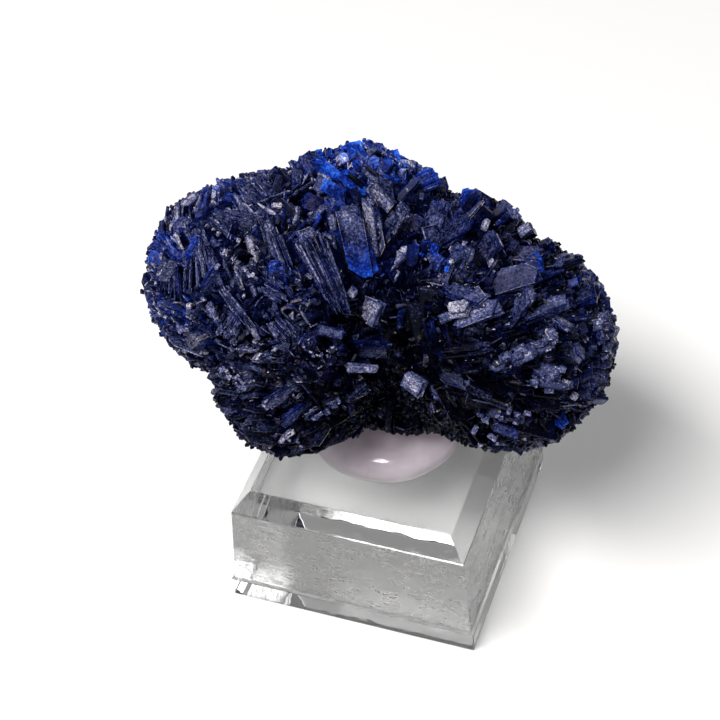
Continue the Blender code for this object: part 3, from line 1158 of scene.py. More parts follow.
# Crystals of the display side that have a place of their own. A row is the middle's place to the
# right and up, the length and width in mm, the turn, tilt and rise in degrees, and the look. A
# turn is counted from the right, a tilt is about the length, and a rise is off the surface.
LARGE_BLADES = (
    (-2.9, 6.1, 9.4, 3.6, 101, 12, 18, Look.BLUE_FOOT),
    (-1.1, 8.1, 7.4, 2.4, 98, 40, 22, Look.SATIN),
    (-5.9, 5.2, 5.0, 1.7, 112, 25, 20, Look.SATIN),
    (-7.5, 10.9, 4.6, 2.2, 160, 15, 20, Look.BROWN),
    (-4.9, 14.3, 8.6, 1.9, 144, 20, 8, Look.ELECTRIC),
    (-12.6, 5.7, 9.4, 2.0, 111, 25, 14, Look.STEEL),
    (-7.4, 3.1, 8.8, 3.0, 134, 30, 12, Look.STEEL),
    (16.7, 4.8, 6.0, 3.2, 176, 25, 18, Look.BROWN),
    (14.6, 1.8, 8.2, 3.9, 14, 18, 20, Look.BROWN),
    (12.4, 5.4, 4.4, 3.0, 50, 25, 24, Look.BROWN),
    (8.4, 7.0, 6.4, 3.2, 35, 30, 20, Look.NAVY),
    (1.4, 8.3, 5.6, 2.1, 60, 25, 24, Look.SATIN),
    (2.0, 4.3, 4.0, 1.8, 50, 35, 24, Look.LILAC),
    (4.3, 7.9, 3.8, 2.6, 80, 20, 16, Look.BROWN),
    (6.1, 14.9, 4.4, 3.0, 15, 25, 14, Look.ROYAL),
    (10.0, 0.0, 6.0, 2.4, 158, 35, 24, Look.STEEL),
    (4.4, 0.7, 4.8, 2.4, 15, 45, 24, Look.BLACK),
    (11.4, -2.5, 6.4, 2.4, 14, 15, 26, Look.LILAC),
    (15.9, -2.0, 6.4, 2.0, 55, 30, 20, Look.SATIN),
    (-1.1, -1.9, 3.4, 3.2, 70, 20, 24, Look.LILAC),
    (-1.7, -6.4, 9.4, 2.6, 174, 30, 14, Look.NAVY),
    (16.7, -6.9, 8.4, 2.2, 24, 30, 14, Look.STEEL),
    (18.6, -8.9, 5.6, 2.3, 162, 25, 16, Look.SATIN),
    (9.5, -10.3, 5.4, 2.2, 160, 30, 18, Look.NAVY),
    (7.4, -12.3, 4.6, 1.6, 151, 40, 18, Look.SATIN),
    (14.3, -14.1, 6.0, 1.9, 175, 30, 16, Look.SATIN),
    (21.6, -14.2, 4.4, 1.6, 110, 30, 16, Look.ROYAL),
    (20.7, -2.8, 4.6, 1.8, 142, 50, 16, Look.SATIN),
    (-11.3, -11.6, 6.4, 1.8, 30, 45, 12, Look.SATIN),
    (-9.3, -13.6, 6.0, 1.8, 32, 45, 12, Look.NAVY),
    (-6.8, -13.7, 4.8, 2.0, 25, 30, 12, Look.SATIN),
    (-16.2, -2.2, 7.4, 1.6, 125, 40, 14, Look.SATIN),
    (-18.2, 5.7, 6.6, 2.2, 72, 50, 14, Look.NAVY),
    (-20.3, 9.2, 5.8, 2.4, 40, 40, 14, Look.NAVY),
    (23.3, -5.9, 5.0, 2.2, 95, 35, 16, Look.LILAC),
    (23.8, -0.5, 5.0, 3.0, 20, 45, 24, Look.NAVY),
    (13.2, 8.9, 5.6, 2.6, 33, 50, 16, Look.NAVY),
    (18.8, 3.0, 4.6, 2.2, 120, 45, 20, Look.ROYAL),
)


ACCENTS = (
    (-5.3, 8.4, 2.1, 1.0, 95, 15, 15, Look.LILAC),
    (-6.5, 12.5, 2.3, 2.0, 60, 10, 15, Look.LILAC),
    (-9.3, 6.4, 2.3, 1.5, 20, 15, 15, Look.LILAC),
    (-12.8, 7.9, 1.9, 1.4, 10, 15, 15, Look.SATIN),
    (-12.4, 9.5, 1.3, 0.8, 5, 10, 15, Look.PEARL),
    (-4.3, 0.6, 1.3, 1.2, 60, 5, 10, Look.LILAC),
    (7.3, 3.3, 2.0, 1.5, 60, 10, 20, Look.ROYAL),
    (8.2, 2.7, 0.7, 0.6, 70, 5, 15, Look.ELECTRIC),
    (8.6, 3.4, 0.6, 0.5, 20, 5, 15, Look.PEARL),
    (7.8, 3.4, 0.7, 0.4, 120, 5, 15, Look.ROYAL),
    (6.7, 3.7, 1.3, 1.0, 110, 10, 15, Look.LILAC),
    (12.1, 7.3, 1.5, 1.0, 75, 10, 15, Look.PEARL),
    (16.4, 7.0, 1.9, 1.7, 30, 15, 15, Look.LILAC),
    (17.3, 0.7, 2.0, 0.5, 75, 10, 15, Look.LILAC),
    (10.0, -2.3, 2.8, 2.1, 6, 10, 18, Look.PEARL),
    (11.4, 0.2, 2.2, 0.8, 130, 10, 15, Look.LILAC),
    (2.3, -2.5, 2.6, 0.9, 85, 20, 15, Look.NAVY),
    (8.0, -2.2, 1.5, 1.3, 20, 10, 15, Look.LILAC),
    (5.5, -10.0, 3.2, 2.5, 150, 15, 18, Look.LILAC),
    (12.5, -16.2, 1.6, 1.0, 60, 10, 10, Look.PEARL),
    (13.6, -15.7, 1.2, 0.8, 150, 10, 10, Look.LILAC),
    (11.7, -14.9, 1.2, 0.7, 60, 10, 10, Look.LILAC),
    (19.3, -9.9, 4.0, 1.0, 175, 20, 12, Look.STEEL),
    (22.1, -11.2, 1.0, 0.9, 60, 10, 15, Look.PEARL),
    (-7.0, -5.2, 3.8, 1.5, 172, 20, 12, Look.STEEL),
    (-3.8, -8.8, 4.2, 1.2, 175, 20, 14, Look.LILAC),
    (-10.8, -15.5, 1.4, 1.0, 30, 10, 10, Look.PEARL),
    (-21.8, -0.9, 0.8, 0.7, 90, 10, 15, Look.PEARL),
    (17.6, 2.3, 2.6, 0.9, 150, 25, 15, Look.ROYAL),
    (10.8, 8.3, 4.6, 0.9, 40, 45, 14, Look.SATIN),
    (7.0, 4.3, 2.2, 1.2, 70, 25, 15, Look.ROYAL),
    (20.8, 2.9, 1.4, 1.0, 60, 10, 10, Look.LILAC),
    (22.0, 0.7, 1.2, 1.0, 20, 10, 10, Look.ROYAL),
    (-7.2, 16.8, 2.2, 1.3, 130, 20, 10, Look.ELECTRIC),
    (-1.1, 16.3, 1.4, 1.1, 30, 10, 10, Look.LILAC),
    (0.4, 14.5, 1.6, 1.2, 60, 10, 10, Look.ROYAL),
    (-2.8, 14.6, 1.3, 1.0, 130, 10, 10, Look.ROYAL),
    (-22.6, 10.4, 3.4, 1.6, 45, 20, 10, Look.LILAC),
    (-23.3, 8.9, 2.8, 1.2, 80, 20, 10, Look.LILAC),
    (-0.4, 11.0, 3.8, 1.9, 138, 25, 10, Look.SATIN),
    (-3.1, 13.0, 4.4, 1.6, 144, 20, 6, Look.ELECTRIC),
    (-5.2, 11.9, 3.4, 1.8, 150, 15, 8, Look.ROYAL),
    (-2.8, 11.1, 2.2, 1.3, 120, 10, 10, Look.NAVY),
    (-1.2, 13.7, 3.2, 1.2, 144, 20, 6, Look.STEEL),
    (4.6, 13.4, 3.6, 2.4, 20, 15, 8, Look.ROYAL),
    (4.5, 13.9, 1.5, 1.1, 20, 15, 8, Look.ELECTRIC),
    (2.6, 12.0, 3.6, 1.2, 48, 15, 8, Look.NAVY),
    (-18.4, -7.7, 1.1, 0.9, 100, 0, 15, Look.OCHRE),
    (-11.6, -1.2, 0.8, 0.4, 30, 10, 10, Look.COPPER),
    (-10.3, -0.4, 1.4, 0.35, 15, 30, 10, Look.COPPER),
    (-9.0, -0.6, 0.9, 0.35, 60, 30, 10, Look.PEARL),
    (-8.9, 2.1, 0.9, 0.5, 140, 10, 15, Look.COPPER),
    (-16.6, 3.7, 0.6, 0.4, 45, 10, 15, Look.COPPER),
    (-16.4, 5.8, 0.6, 0.6, 80, 10, 15, Look.PEARL),
    (-17.9, 4.7, 0.7, 0.3, 70, 10, 15, Look.PEARL),
    (-18.6, 3.1, 0.8, 0.6, 60, 10, 15, Look.LILAC),
    (-15.9, 2.8, 1.0, 0.7, 30, 10, 15, Look.LILAC),
    (-25.1, 4.4, 1.0, 0.6, 80, 10, 15, Look.LILAC),
    (-22.9, 5.8, 2.2, 0.35, 115, 20, 10, Look.PEARL),
    (-21.8, 6.5, 1.7, 0.9, 115, 20, 10, Look.SATIN),
    (-19.3, -1.4, 1.3, 0.9, 130, 10, 15, Look.LILAC),
    (-17.3, -5.4, 0.8, 0.6, 120, 10, 15, Look.LILAC),
    (-16.3, -6.0, 0.7, 0.3, 40, 10, 15, Look.PEARL),
    (-12.2, -7.0, 0.9, 0.6, 45, 10, 15, Look.LILAC),
    (14.8, -14.7, 3.6, 1.3, 165, 20, 10, Look.NAVY),
)


@dataclass(frozen=True)
class Sheaf:
    """A bundle of thin laths that fans out from its root.

    Attributes:
        root: Its start, to the right and up.
        tip: Its end.
        widths: How wide it is there.
        number: How many laths it has.
        look: Their look.
    """

    root: Pair
    tip: Pair
    widths: Pair
    number: int
    look: Look = Look.STEEL

    def rows(self, rng: Dice) -> list[tuple]:
        """Its laths as rows like those of the large blades.

        A lath at share c across the bundle runs from root + c w0 p to tip + c w1 p, where p is
        square to the bundle and w0 and w1 are its widths. It covers a part of that line.

        Args:
            rng: The dice.

        Returns:
            One row for each lath.
        """
        number = self.number
        root, tip = np.array(self.root), np.array(self.tip)
        square = unit(tip - root) @ np.array([[0.0, 1.0], [-1.0, 0.0]])
        shares = (np.arange(number) + rng.uniform(-0.4, 0.4, number)) / (number - 1.0) - 0.5
        starts = root + shares[:, None] * self.widths[0] * square
        ends = tip + shares[:, None] * self.widths[1] * square
        first = rng.uniform(0.0, 0.5, (number, 1))
        last = np.minimum(first + rng.uniform(0.4, 0.6, (number, 1)), 1.0)
        near, far = (starts + (ends - starts) * share for share in (first, last))
        middle, span = (near + far) / 2.0, far - near
        length = np.linalg.norm(span, axis=1)
        turn = np.degrees(np.arctan2(span[:, 1], span[:, 0]))
        width, tilt = rng.uniform(0.2, 0.42, number), rng.normal(10.0, 16.0, number)
        rise = rng.uniform(2.0, 9.0, number)
        rows = np.column_stack([middle, length, width, turn, tilt, rise])
        return [(*row, self.look) for row in rows]


SHEAVES = (
    Sheaf((-19.8, 8.9), (-15.6, 7.2), (0.8, 4.6), 60),
    Sheaf((-21.0, 7.6), (-20.3, 0.4), (1.0, 5.4), 90),
    Sheaf((-4.8, -2.4), (-9.2, 6.8), (1.6, 3.6), 80),
    Sheaf((-18.6, 1.4), (-14.8, -4.2), (0.7, 1.3), 18),
    Sheaf((-10.8, -0.4), (-14.4, 1.8), (1.8, 2.4), 26),
    Sheaf((-14.3, 10.4), (-11.0, 1.6), (1.2, 1.8), 6),
    Sheaf((-15.8, 12.6), (-13.6, 11.0), (2.4, 3.0), 36),
    Sheaf((-12.8, -2.2), (-10.4, -5.0), (2.4, 3.0), 34),
    Sheaf((-16.6, -1.2), (-18.4, -4.6), (2.0, 2.6), 30, Look.SATIN),
    Sheaf((-24.2, 4.6), (-24.6, -0.6), (2.0, 3.4), 34, Look.NAVY),
)


@dataclass(frozen=True)
class Stair:
    """A run of square plates that overlap like steps.

    Attributes:
        start: Where it starts, to the right and up.
        end: Where it ends.
        size: Mean length of a plate in mm.
        number: How many plates it has.
        looks: The looks that they take in turn.
    """

    start: Pair
    end: Pair
    size: float
    number: int
    looks: tuple[Look, ...]

    def rows(self, rng: Dice) -> list[tuple]:
        """Its plates as rows like those of the large blades.

        Plate i of n stands at about share (i + 1/2) / n of the way, a little to one side, and lies
        along or across the run.

        Args:
            rng: The dice.

        Returns:
            One row for each plate.
        """
        number = self.number
        start, way = np.array(self.start), np.array(self.end) - np.array(self.start)
        shares = (np.arange(number) + rng.uniform(0.2, 0.8, number)) / number
        middle = start + way * shares[:, None] + rng.normal(0.0, 0.3 * self.size, (number, 2))
        turn = math.degrees(math.atan2(way[1], way[0])) + 90.0 * rng.integers(0, 2, number)
        length = self.size * rng.uniform(0.7, 1.3, number)
        width = length * rng.uniform(0.6, 0.9, number)
        lean = rng.normal((0.0, 12.0, 10.0), (8.0, 10.0, 5.0), (number, 3))
        rows = np.column_stack([middle, length, width, turn + lean[:, 0], lean[:, 1:]])
        return [(*row, self.looks[index % len(self.looks)]) for index, row in enumerate(rows)]


_PALE = (Look.SATIN, Look.LILAC)
_BRIGHT = (Look.LILAC, Look.PEARL, Look.SATIN)
_MIXED = (Look.LILAC, Look.NAVY, Look.PEARL, Look.COPPER)
_VIVID = (Look.ELECTRIC, Look.PEARL, Look.ROYAL)

STAIRS = (
    Stair((14.3, -8.1), (20.2, -4.75), 1.5, 12, _PALE),
    Stair((17.2, -9.5), (20.8, -8.8), 1.3, 6, _PALE),
    Stair((18.3, -10.5), (22.1, -9.7), 0.9, 6, _BRIGHT),
    Stair((12.1, -13.1), (17.3, -13.5), 1.0, 8, _PALE),
    Stair((-9.5, -6.4), (-7.8, -7.6), 0.4, 8, _BRIGHT),
    Stair((-7.8, -7.6), (-6.2, -6.65), 0.4, 8, _BRIGHT),
    Stair((24.8, -2.4), (26.4, -8.2), 1.3, 22, (Look.LILAC, Look.STEEL)),
    Stair((-2.6, 17.4), (2.4, 14.8), 0.35, 16, (Look.PEARL, Look.ROYAL)),
    Stair((0.8, 16.2), (3.6, 13.2), 0.35, 14, (Look.LILAC, Look.ROYAL)),
    Stair((-18.0, -8.6), (-15.2, -10.9), 0.7, 16, _BRIGHT),
    Stair((-8.5, -14.2), (-5.7, -12.4), 0.8, 9, _PALE),
    Stair((-11.9, -15.4), (-9.5, -16.9), 0.7, 8, _BRIGHT),
    Stair((-19.0, -1.7), (-16.4, -5.9), 0.6, 14, _PALE),
    Stair((-20.4, 0.0), (-18.5, -2.6), 0.7, 9, _BRIGHT),
    Stair((-18.2, 5.1), (-14.0, 1.5), 0.6, 18, _MIXED),
    Stair((5.8, 4.2), (8.5, 3.5), 0.5, 14, _VIVID),
)


@dataclass(frozen=True)
class Body:
    """The mass that the crystals grow from, and how they lean on it.

    Attributes:
        nucleus: Place that the growth axes partly point away from, in the display frame.
        hollow: Place in front of the dark middle that the crystals lean away from.
        spacing: About how far apart the smaller blades stand, in mm.
        domain_count: How many domains of like-leaning crystals there are.
        seed: Of the dice for the domains and the smaller blades.
        petals: Mean lean and turn in degrees on the right, where broad sides show.
        books: The same on the left, where edges show.
        domain_scatter: Scatter of both among the domains.
        books_start: How far right the change to books starts, in mm.
        books_full: How far right it ends.
        most_out: Most of its length that a crystal stands off the body.
        sunk: How deep the roots of the large blades are in the body, in mm.
        lift: How far the accents and stairs are raised off it, in mm.
    """

    nucleus: Triple = (3.0, -6.0, -6.0)
    hollow: Triple = (3.5, -7.0, 9.0)
    spacing: float = 4.5
    domain_count: int = 46
    seed: int = 29
    petals: Pair = (50.0, 20.0)
    books: Pair = (28.0, 65.0)
    domain_scatter: Pair = (13.0, 25.0)
    books_start: float = -2.0
    books_full: float = -10.0
    most_out: float = 0.62
    sunk: float = 1.0
    lift: float = 1.3

    def height(self, points: Array) -> Array:
        """About how far each point is above the surface of the nearest lobe, in mm."""
        return np.min([(lobe.depth(points) - 1.0) * np.mean(lobe.radii) for lobe in LOBES], axis=0)

    def spread(self, spacing: float, jitter: int | None = None) -> tuple[Array, Array]:
        """Points over the open surface of the lobes.

        On each lobe they follow a golden spiral, n points at heights 1 - (2i + 1) / n, and those
        that another lobe covers are left out.

        Args:
            spacing: About how far apart they are, in mm.
            jitter: Where given, each point is moved a little at random, by this seed.

        Returns:
            The points and the outward normals there.
        """
        points, normals = [], []
        golden = math.pi * (3.0 - math.sqrt(5.0))
        for number, lobe in enumerate(LOBES):
            mean_radius = float(np.mean(lobe.radii))
            count = round(4.0 * math.pi * mean_radius**2 / spacing**2)
            index = np.arange(count)
            height = 1.0 - 2.0 * (index + 0.5) / count
            ring = np.sqrt(1.0 - height**2)
            turn = golden * index
            sphere = np.stack([ring * np.cos(turn), ring * np.sin(turn), height], 1)
            if jitter is not None:
                rng = np.random.default_rng((jitter, number))
                sphere = unit(sphere + rng.normal(0.0, 0.35 * spacing / mean_radius, sphere.shape))
            spots = np.array(lobe.centre) + sphere * np.array(lobe.radii)
            others = [other.depth(spots) for other in LOBES if other is not lobe]
            open_air = np.min(others, axis=0) > 1.0
            points.append(spots[open_air])
            normals.append(lobe.normal(spots[open_air]))
        return OUTLINE.body(np.concatenate(points)), np.concatenate(normals)

    def front(self, flat: Array) -> tuple[Array, Array]:
        """The frontmost point of the body at each (right, up), and the normal there.

        A lobe of middle c and radii a, b and r reaches c + r sqrt(1 - s) there, where s is the sum
        of the squared shares of a and b. A place beside the body takes the middle depth of the
        lobe that it is nearest to.

        Args:
            flat: Places to the right and up, as rows.

        Returns:
            The points and the normals.
        """
        middles = np.array([lobe.centre for lobe in LOBES])[:, None]
        radii = np.array([lobe.radii for lobe in LOBES])[:, None]
        shares = (((flat - middles[..., :2]) / radii[..., :2]) ** 2).sum(axis=2)
        fronts = middles[..., 2] + radii[..., 2] * np.sqrt(np.maximum(0.0, 1.0 - shares))
        best = np.lexsort((fronts, np.minimum(0.0, 1.0 - shares)), axis=0)[-1]
        points = np.column_stack([flat, fronts[best, np.arange(len(flat))]])
        normals = np.array([LOBES[lobe].normal(point) for lobe, point in zip(best, points)])
        return points, normals

    def domains(self, rng: Dice) -> tuple[Array, Array]:
        """The middles of the crystal domains, and their lean and turn in radians.

        Lean is off the surface's normal and turn is about the growth axis. They go from petals
        with their broad sides out on the right to books of blades on edge on the left.

        Args:
            rng: The dice.

        Returns:
            The middles as rows, and the leans and turns as rows.
        """
        points, _ = self.spread(self.spacing)
        middles = points[rng.choice(len(points), self.domain_count, replace=False)]
        way = self.books_full - self.books_start
        share = np.clip((middles[:, :1] - self.books_start) / way, 0.0, 1.0)
        habits = np.array(self.petals) * (1.0 - share) + np.array(self.books) * share
        return middles, np.radians(habits + rng.normal(0.0, self.domain_scatter, habits.shape))

    def rooted(
        self, points: Array, normals: Array, scatter: Array, size: Array, reach: Array
    ) -> Batch:
        """Crystals that stand on the body at those points, leaning alike within each domain.

        With n outwards and t away from the hollow, the growth axis is cos(lean) n + sin(lean) t,
        and the broad side's normal is sin(lean) n - cos(lean) t, turned about it.

        Args:
            points: Where they root.
            normals: The body's normals there.
            scatter: Lean, turn and swing about the normal added to the domain's own, in radians.
            size: Lengths, widths and thicknesses.
            reach: How far each tip stands off the body.

        Returns:
            The crystals, with no look yet.
        """
        middles, habits = self.domains(np.random.default_rng(self.seed))
        apart = np.linalg.norm(points[:, None] - middles[None], axis=2)
        lean, turn = (habits[apart.argmin(axis=1)] + scatter[:, :2]).T[:, :, None]
        outward = unit(0.6 * normals + 0.4 * unit(points - np.array(self.nucleus)))
        away = unit(square_to(outward, points - np.array(self.hollow)))
        swing = scatter[:, 2:]
        away = np.cos(swing) * away + np.sin(swing) * np.cross(outward, away)
        along = np.cos(lean) * outward + np.sin(lean) * away
        petal = np.sin(lean) * outward - np.cos(lean) * away
        face = unit(np.cos(turn) * petal + np.sin(turn) * np.cross(outward, away))
        steep = np.maximum(np.cos(lean), 0.25)
        out = np.minimum(reach[:, None] / steep, self.most_out * size[:, :1])
        centre = points + along * (out - size[:, :1] / 2.0)
        return OUTLINE.drawn_in(Batch(centre, along, face, size, np.zeros((len(points), 5))))

    def listed(self, table: Sequence[tuple], sunk: float) -> Batch:
        """The blades of the display side, one for each row of a table.

        The end nearest the hollow is the root. It is sunk in the body, and the free end rises. A
        blade's thickness is 0.3 of its width, and up to 0.4 mm more.

        Args:
            table: Rows like those of LARGE_BLADES.
            sunk: How deep the root is in the body, in mm. Below 0 it stands off the body.

        Returns:
            The blades.
        """
        rows = np.array([blade[:7] for blade in table], float)
        flat, length, width = rows[:, :2], rows[:, 2:3], rows[:, 3:4]
        angle, tilt, climb = np.radians(rows[:, 4:7]).T[:, :, None]
        spots, normals = self.front(flat)
        along = np.concatenate([np.cos(angle), np.sin(angle), 0.0 * angle], axis=1)
        along *= np.sign((along * (spots - np.array(self.hollow))).sum(axis=1, keepdims=True))
        broad = unit(0.6 * square_to(along, normals) + np.array([0.0, 0.0, 0.8]))
        along = unit(square_to(broad, along))
        along, broad = (
            np.cos(climb) * along + np.sin(climb) * broad,
            np.cos(climb) * broad - np.sin(climb) * along,
        )
        face = np.cos(tilt) * broad + np.sin(tilt) * np.cross(broad, along)
        centre = spots + normals * (0.5 * length * np.sin(climb) - sunk)
        size = np.concatenate([length, width, 0.3 * width + np.minimum(0.4, 0.25 * width)], axis=1)
        look = np.array([blade[7].value for blade in table])
        return OUTLINE.drawn_in(Batch(centre, along, face, size, look))

    def small_blades(self) -> Batch:
        """The blades that cover the lobes, where no large one is.

        Returns:
            The blades, with no look yet.
        """
        rng = np.random.default_rng(self.seed)
        self.domains(rng)
        points, normals = self.spread(self.spacing)
        middles = np.array([blade[:2] for blade in LARGE_BLADES])
        clear = np.array([0.22 * (blade[2] + blade[3]) for blade in LARGE_BLADES])
        apart = np.linalg.norm(points[:, None, :2] - middles[None], axis=2)
        kept = (apart > clear).all(axis=1) | (points[:, 2] < 0.0)
        points, normals = points[kept], normals[kept]
        scatter = np.radians(rng.normal(0.0, (7.0, 9.0), (len(points), 2)))
        scatter = np.column_stack([scatter, np.zeros(len(points))])
        sizes = rng.uniform((4.2, 2.2, 0.9, 1.3), (7.2, 4.0, 1.5, 2.5), (len(points), 4))
        return self.rooted(points, normals, scatter, sizes[:, :3], sizes[:, 3])


# ---- The azurite ----


@dataclass(frozen=True)
class Growth:
    """A generation of crystals all over the body.

    Attributes:
        seed: Of the dice.
        spacing: About how far apart they stand, in mm.
        low: Smallest length, width, thickness and reach off the body, in mm.
        high: Largest of each.
        spread: Scatter of lean, turn and swing within a domain, in degrees.
        swirl: How far the swing goes to and fro from one bundle to the next, in degrees.
        lie: Lean, turn and swing added to the domain's own, in degrees.
        lift: How far their roots are raised, in mm.
        rust: How many of the smallest are stained, as dressed says.
        brim: How much more their roots are raised round the outline, in mm.
    """

    seed: int
    spacing: float
    low: tuple[float, float, float, float]
    high: tuple[float, float, float, float]
    spread: Triple
    swirl: float = 0.0
    lie: Triple = (0.0, 0.0, 0.0)
    lift: float = 0.0
    rust: float = 0.01
    brim: float = 0.0


@dataclass
class Azurite:
    """The cluster: its dark body, stepped blades on stalks, plates, chips, druse, teeth and grains.

    Attributes:
        limits: The room that it keeps to.
        finish: Its material.
        body: The mass and its layout.
        seed: Of the dice for most of it.
        core: Middle that the body's surface is measured from, in the display frame.
        core_grid: Rings and sides of the body's mesh.
        core_look: Depth of blue and painted sheen of the body.
        stalk_height: Height of a stalk in mm.
        stalk_share: Its share of its crystal's length and width.
        stalk_seed: Of the dice for the stalks.
        druse_seed: Of the dice that thin out druse and fibres.
        grain_number: How many grains there are.
        grain_size: Range of their lengths in mm.
        plates: The middle-sized plates.
        fibres: The thin laths that lie on the left side.
        chips: The small plates in the gaps.
        druse: The small blocks.
        blocks: The larger blocks among them, where the druse is thick.
    """

    limits: Limits
    finish: AzuriteFinish = field(default_factory=AzuriteFinish)
    body: Body = field(default_factory=Body)
    seed: int = 11
    core: Triple = (1.0, -1.0, -3.0)
    core_grid: tuple[int, int] = (120, 180)
    core_look: Pair = (0.20, -0.2)
    stalk_height: float = 2.4
    stalk_share: float = 0.75
    stalk_seed: int = 7
    druse_seed: int = 5
    grain_number: int = 6000
    grain_size: Pair = (0.14, 0.42)
    plates: Growth = Growth(
        seed=41, spacing=1.9, low=(1.8, 1.0, 0.25, 0.2), high=(4.2, 2.4, 0.6, 1.3),
        spread=(14.0, 16.0, 12.0), swirl=40.0,
    )
    fibres: Growth = Growth(
        seed=44, spacing=1.3, low=(2.2, 0.5, 0.22, 0.3), high=(6.0, 1.3, 0.5, 1.2),
        spread=(9.0, 28.0, 14.0), swirl=40.0, lie=(30.0, 0.0, -50.0), lift=0.7,
    )
    chips: Growth = Growth(
        seed=42, spacing=1.2, low=(0.8, 0.5, 0.15, 0.0), high=(2.0, 1.3, 0.4, 0.9),
        spread=(24.0, 30.0, 35.0), swirl=40.0, rust=0.05, brim=0.5,
    )
    druse: Growth = Growth(
        seed=43, spacing=0.55, low=(0.5, 0.4, 0.3, 0.2), high=(1.1, 0.8, 0.6, 1.3),
        spread=(45.0, 50.0, 90.0), rust=0.06, brim=0.8,
    )
    blocks: Growth = Growth(
        seed=45, spacing=1.15, low=(1.3, 1.1, 1.0, 0.8), high=(2.3, 1.9, 1.6, 1.9),
        spread=(40.0, 50.0, 90.0), brim=0.5,
    )

    def build_core(self, material: Material) -> Piece:
        """The mass under the crystals.

        Its radius in each direction is how far a ray goes until it leaves the last lobe, drawn in
        a little and made lumpy. What would be in the bead's room is lifted over it.

        Args:
            material: Its finish.

        Returns:
            The piece.
        """
        rings, sides = self.core_grid
        blue, frost = self.core_look
        rise, turn = np.meshgrid(
            math.pi * (np.arange(rings) + 0.5) / rings,
            FULL_TURN * np.arange(sides) / sides,
            indexing="ij",
        )
        flat = np.sin(rise)
        ways = np.stack([flat * np.cos(turn), flat * np.sin(turn), np.cos(rise)], -1).reshape(-1, 3)
        start = np.array(self.core)
        reach = np.max([lobe.exit_along(start, ways) for lobe in LOBES], axis=0)
        surface = OUTLINE.body(start + ways * (reach * 0.985 - 0.25)[:, None], 0.4)
        bump = 0.35 * lumps(surface, 1.6, 3) + 0.2 * lumps(surface, 0.7, 4)
        row = self.limits.pulled_in(DISPLAY.to_row(surface + ways * bump[:, None]))
        row[:, 2] = np.maximum(row[:, 2], self.limits.bead_top(row) + 0.1)
        mean_radius = 18.0
        grain = np.stack([rise.ravel() * mean_radius, turn.ravel() * mean_radius], 1)
        habit = np.tile((blue, 0.0, 0.0, 1.0), (rings * sides, 1))
        triangles = rings_to_triangles(rings, sides)
        sheen_share = np.full(len(triangles), frost)
        return Shell("azurite_core", row * MM, triangles, grain, habit, sheen_share).build(material)

    def packets(self, parents: Batch, rng: Dice, plates: int, narrow: float) -> Batch:
        """Thin plates stacked in place of each parent, like the leaves of a loose book.

        Args:
            parents: The blades that they stand for.
            rng: The dice.
            plates: How many to a parent.
            narrow: How much of the length and width an upper plate may lose.

        Returns:
            The plates.
        """
        number = np.tile(np.arange(plates), len(parents.centre))
        book = parents.repeated(plates)
        lost = rng.uniform(0.0, narrow, (len(number), 2)) * np.stack([number / plates] * 2, 1)
        side = rng.uniform(-0.5, 0.5, (len(number), 2)) * (lost + 0.06)
        step = (number + 0.5) / plates - 0.5
        centre = book.moved(np.column_stack([side, step]))
        thick = book.size[:, 2] / plates * rng.uniform(0.7, 1.15, len(number))
        size = np.column_stack([book.size[:, :2] * (1.0 - lost), thick])
        look = book.look.copy()
        look[:, 0] += rng.normal(0.0, 0.06, len(number))
        look[:, 1] += rng.normal(0.0, 0.12, len(number))
        return replace(book, centre=centre, size=size, look=look).turned(rng, 3.5, 2.0)

    def laths(self, parents: Batch, rng: Dice, number: int, share: float) -> Batch:
        """Parallel narrow crystals side by side at the free end of each parent, like saw teeth.

        Args:
            parents: The blades that they belong to.
            rng: The dice.
            number: How many to a parent.
            share: Their mean length, as a share of the parent's.

        Returns:
            The laths.
        """
        blade = parents.repeated(number)
        order = np.tile((np.arange(number) + 0.5) / number - 0.5, len(parents.centre))
        length = share * rng.uniform(0.6, 1.4, len(order))
        forward = 0.5 - 0.5 * length + rng.uniform(-0.16, 0.05, len(order))
        depth = rng.uniform(-0.25, 0.55, len(order))
        centre = blade.moved(np.column_stack([forward, order * 0.9, depth]))
        width = blade.size[:, 1] / number * rng.uniform(0.8, 1.25, len(order))
        thick = np.minimum(blade.size[:, 2] * rng.uniform(0.25, 0.5, len(order)), width)
        size = np.column_stack([blade.size[:, 0] * length, width, thick])
        look = blade.look.copy()
        look[:, :2] += rng.normal(0.0, 0.10, (len(order), 2))
        return replace(blade, centre=centre, size=size, look=look).turned(rng, 3.0, 3.0)

    def teeth(self, parents: Batch, rng: Dice, number: int) -> Batch:
        """Small square crystals grown out of the rim of each parent, which make its edge a saw.

        They lie as the parent does. Half of them stand along its two sides, and half at its tip.

        Args:
            parents: The blades that they belong to.
            rng: The dice.
            number: How many to a parent.

        Returns:
            The teeth.
        """
        blade = parents.repeated(number)
        total = len(blade.centre)
        at_tip = rng.random(total) < 0.5
        side = np.sign(rng.uniform(-1.0, 1.0, total)) * rng.uniform(0.34, 0.46, total)
        forward = np.where(at_tip, rng.uniform(0.34, 0.46, total), rng.uniform(-0.3, 0.36, total))
        across = np.where(at_tip, rng.uniform(-0.32, 0.32, total), side)
        centre = blade.moved(np.column_stack([forward, across, rng.uniform(-0.3, 0.4, total)]))
        length = rng.uniform(0.35, 1.0, total)
        width = length * rng.uniform(0.5, 0.9, total)
        size = np.column_stack([length, width, rng.uniform(0.2, 0.5, total)])
        look = blade.look.copy()
        look[:, 0] += 0.5 * look[:, 3] + rng.normal(0.0, 0.10, total)
        look[:, 1] += rng.normal(0.05, 0.22, total)
        look[:, 3:] = 0.0
        return replace(blade, centre=centre, size=size, look=look).turned(rng, 5.0, 5.0)

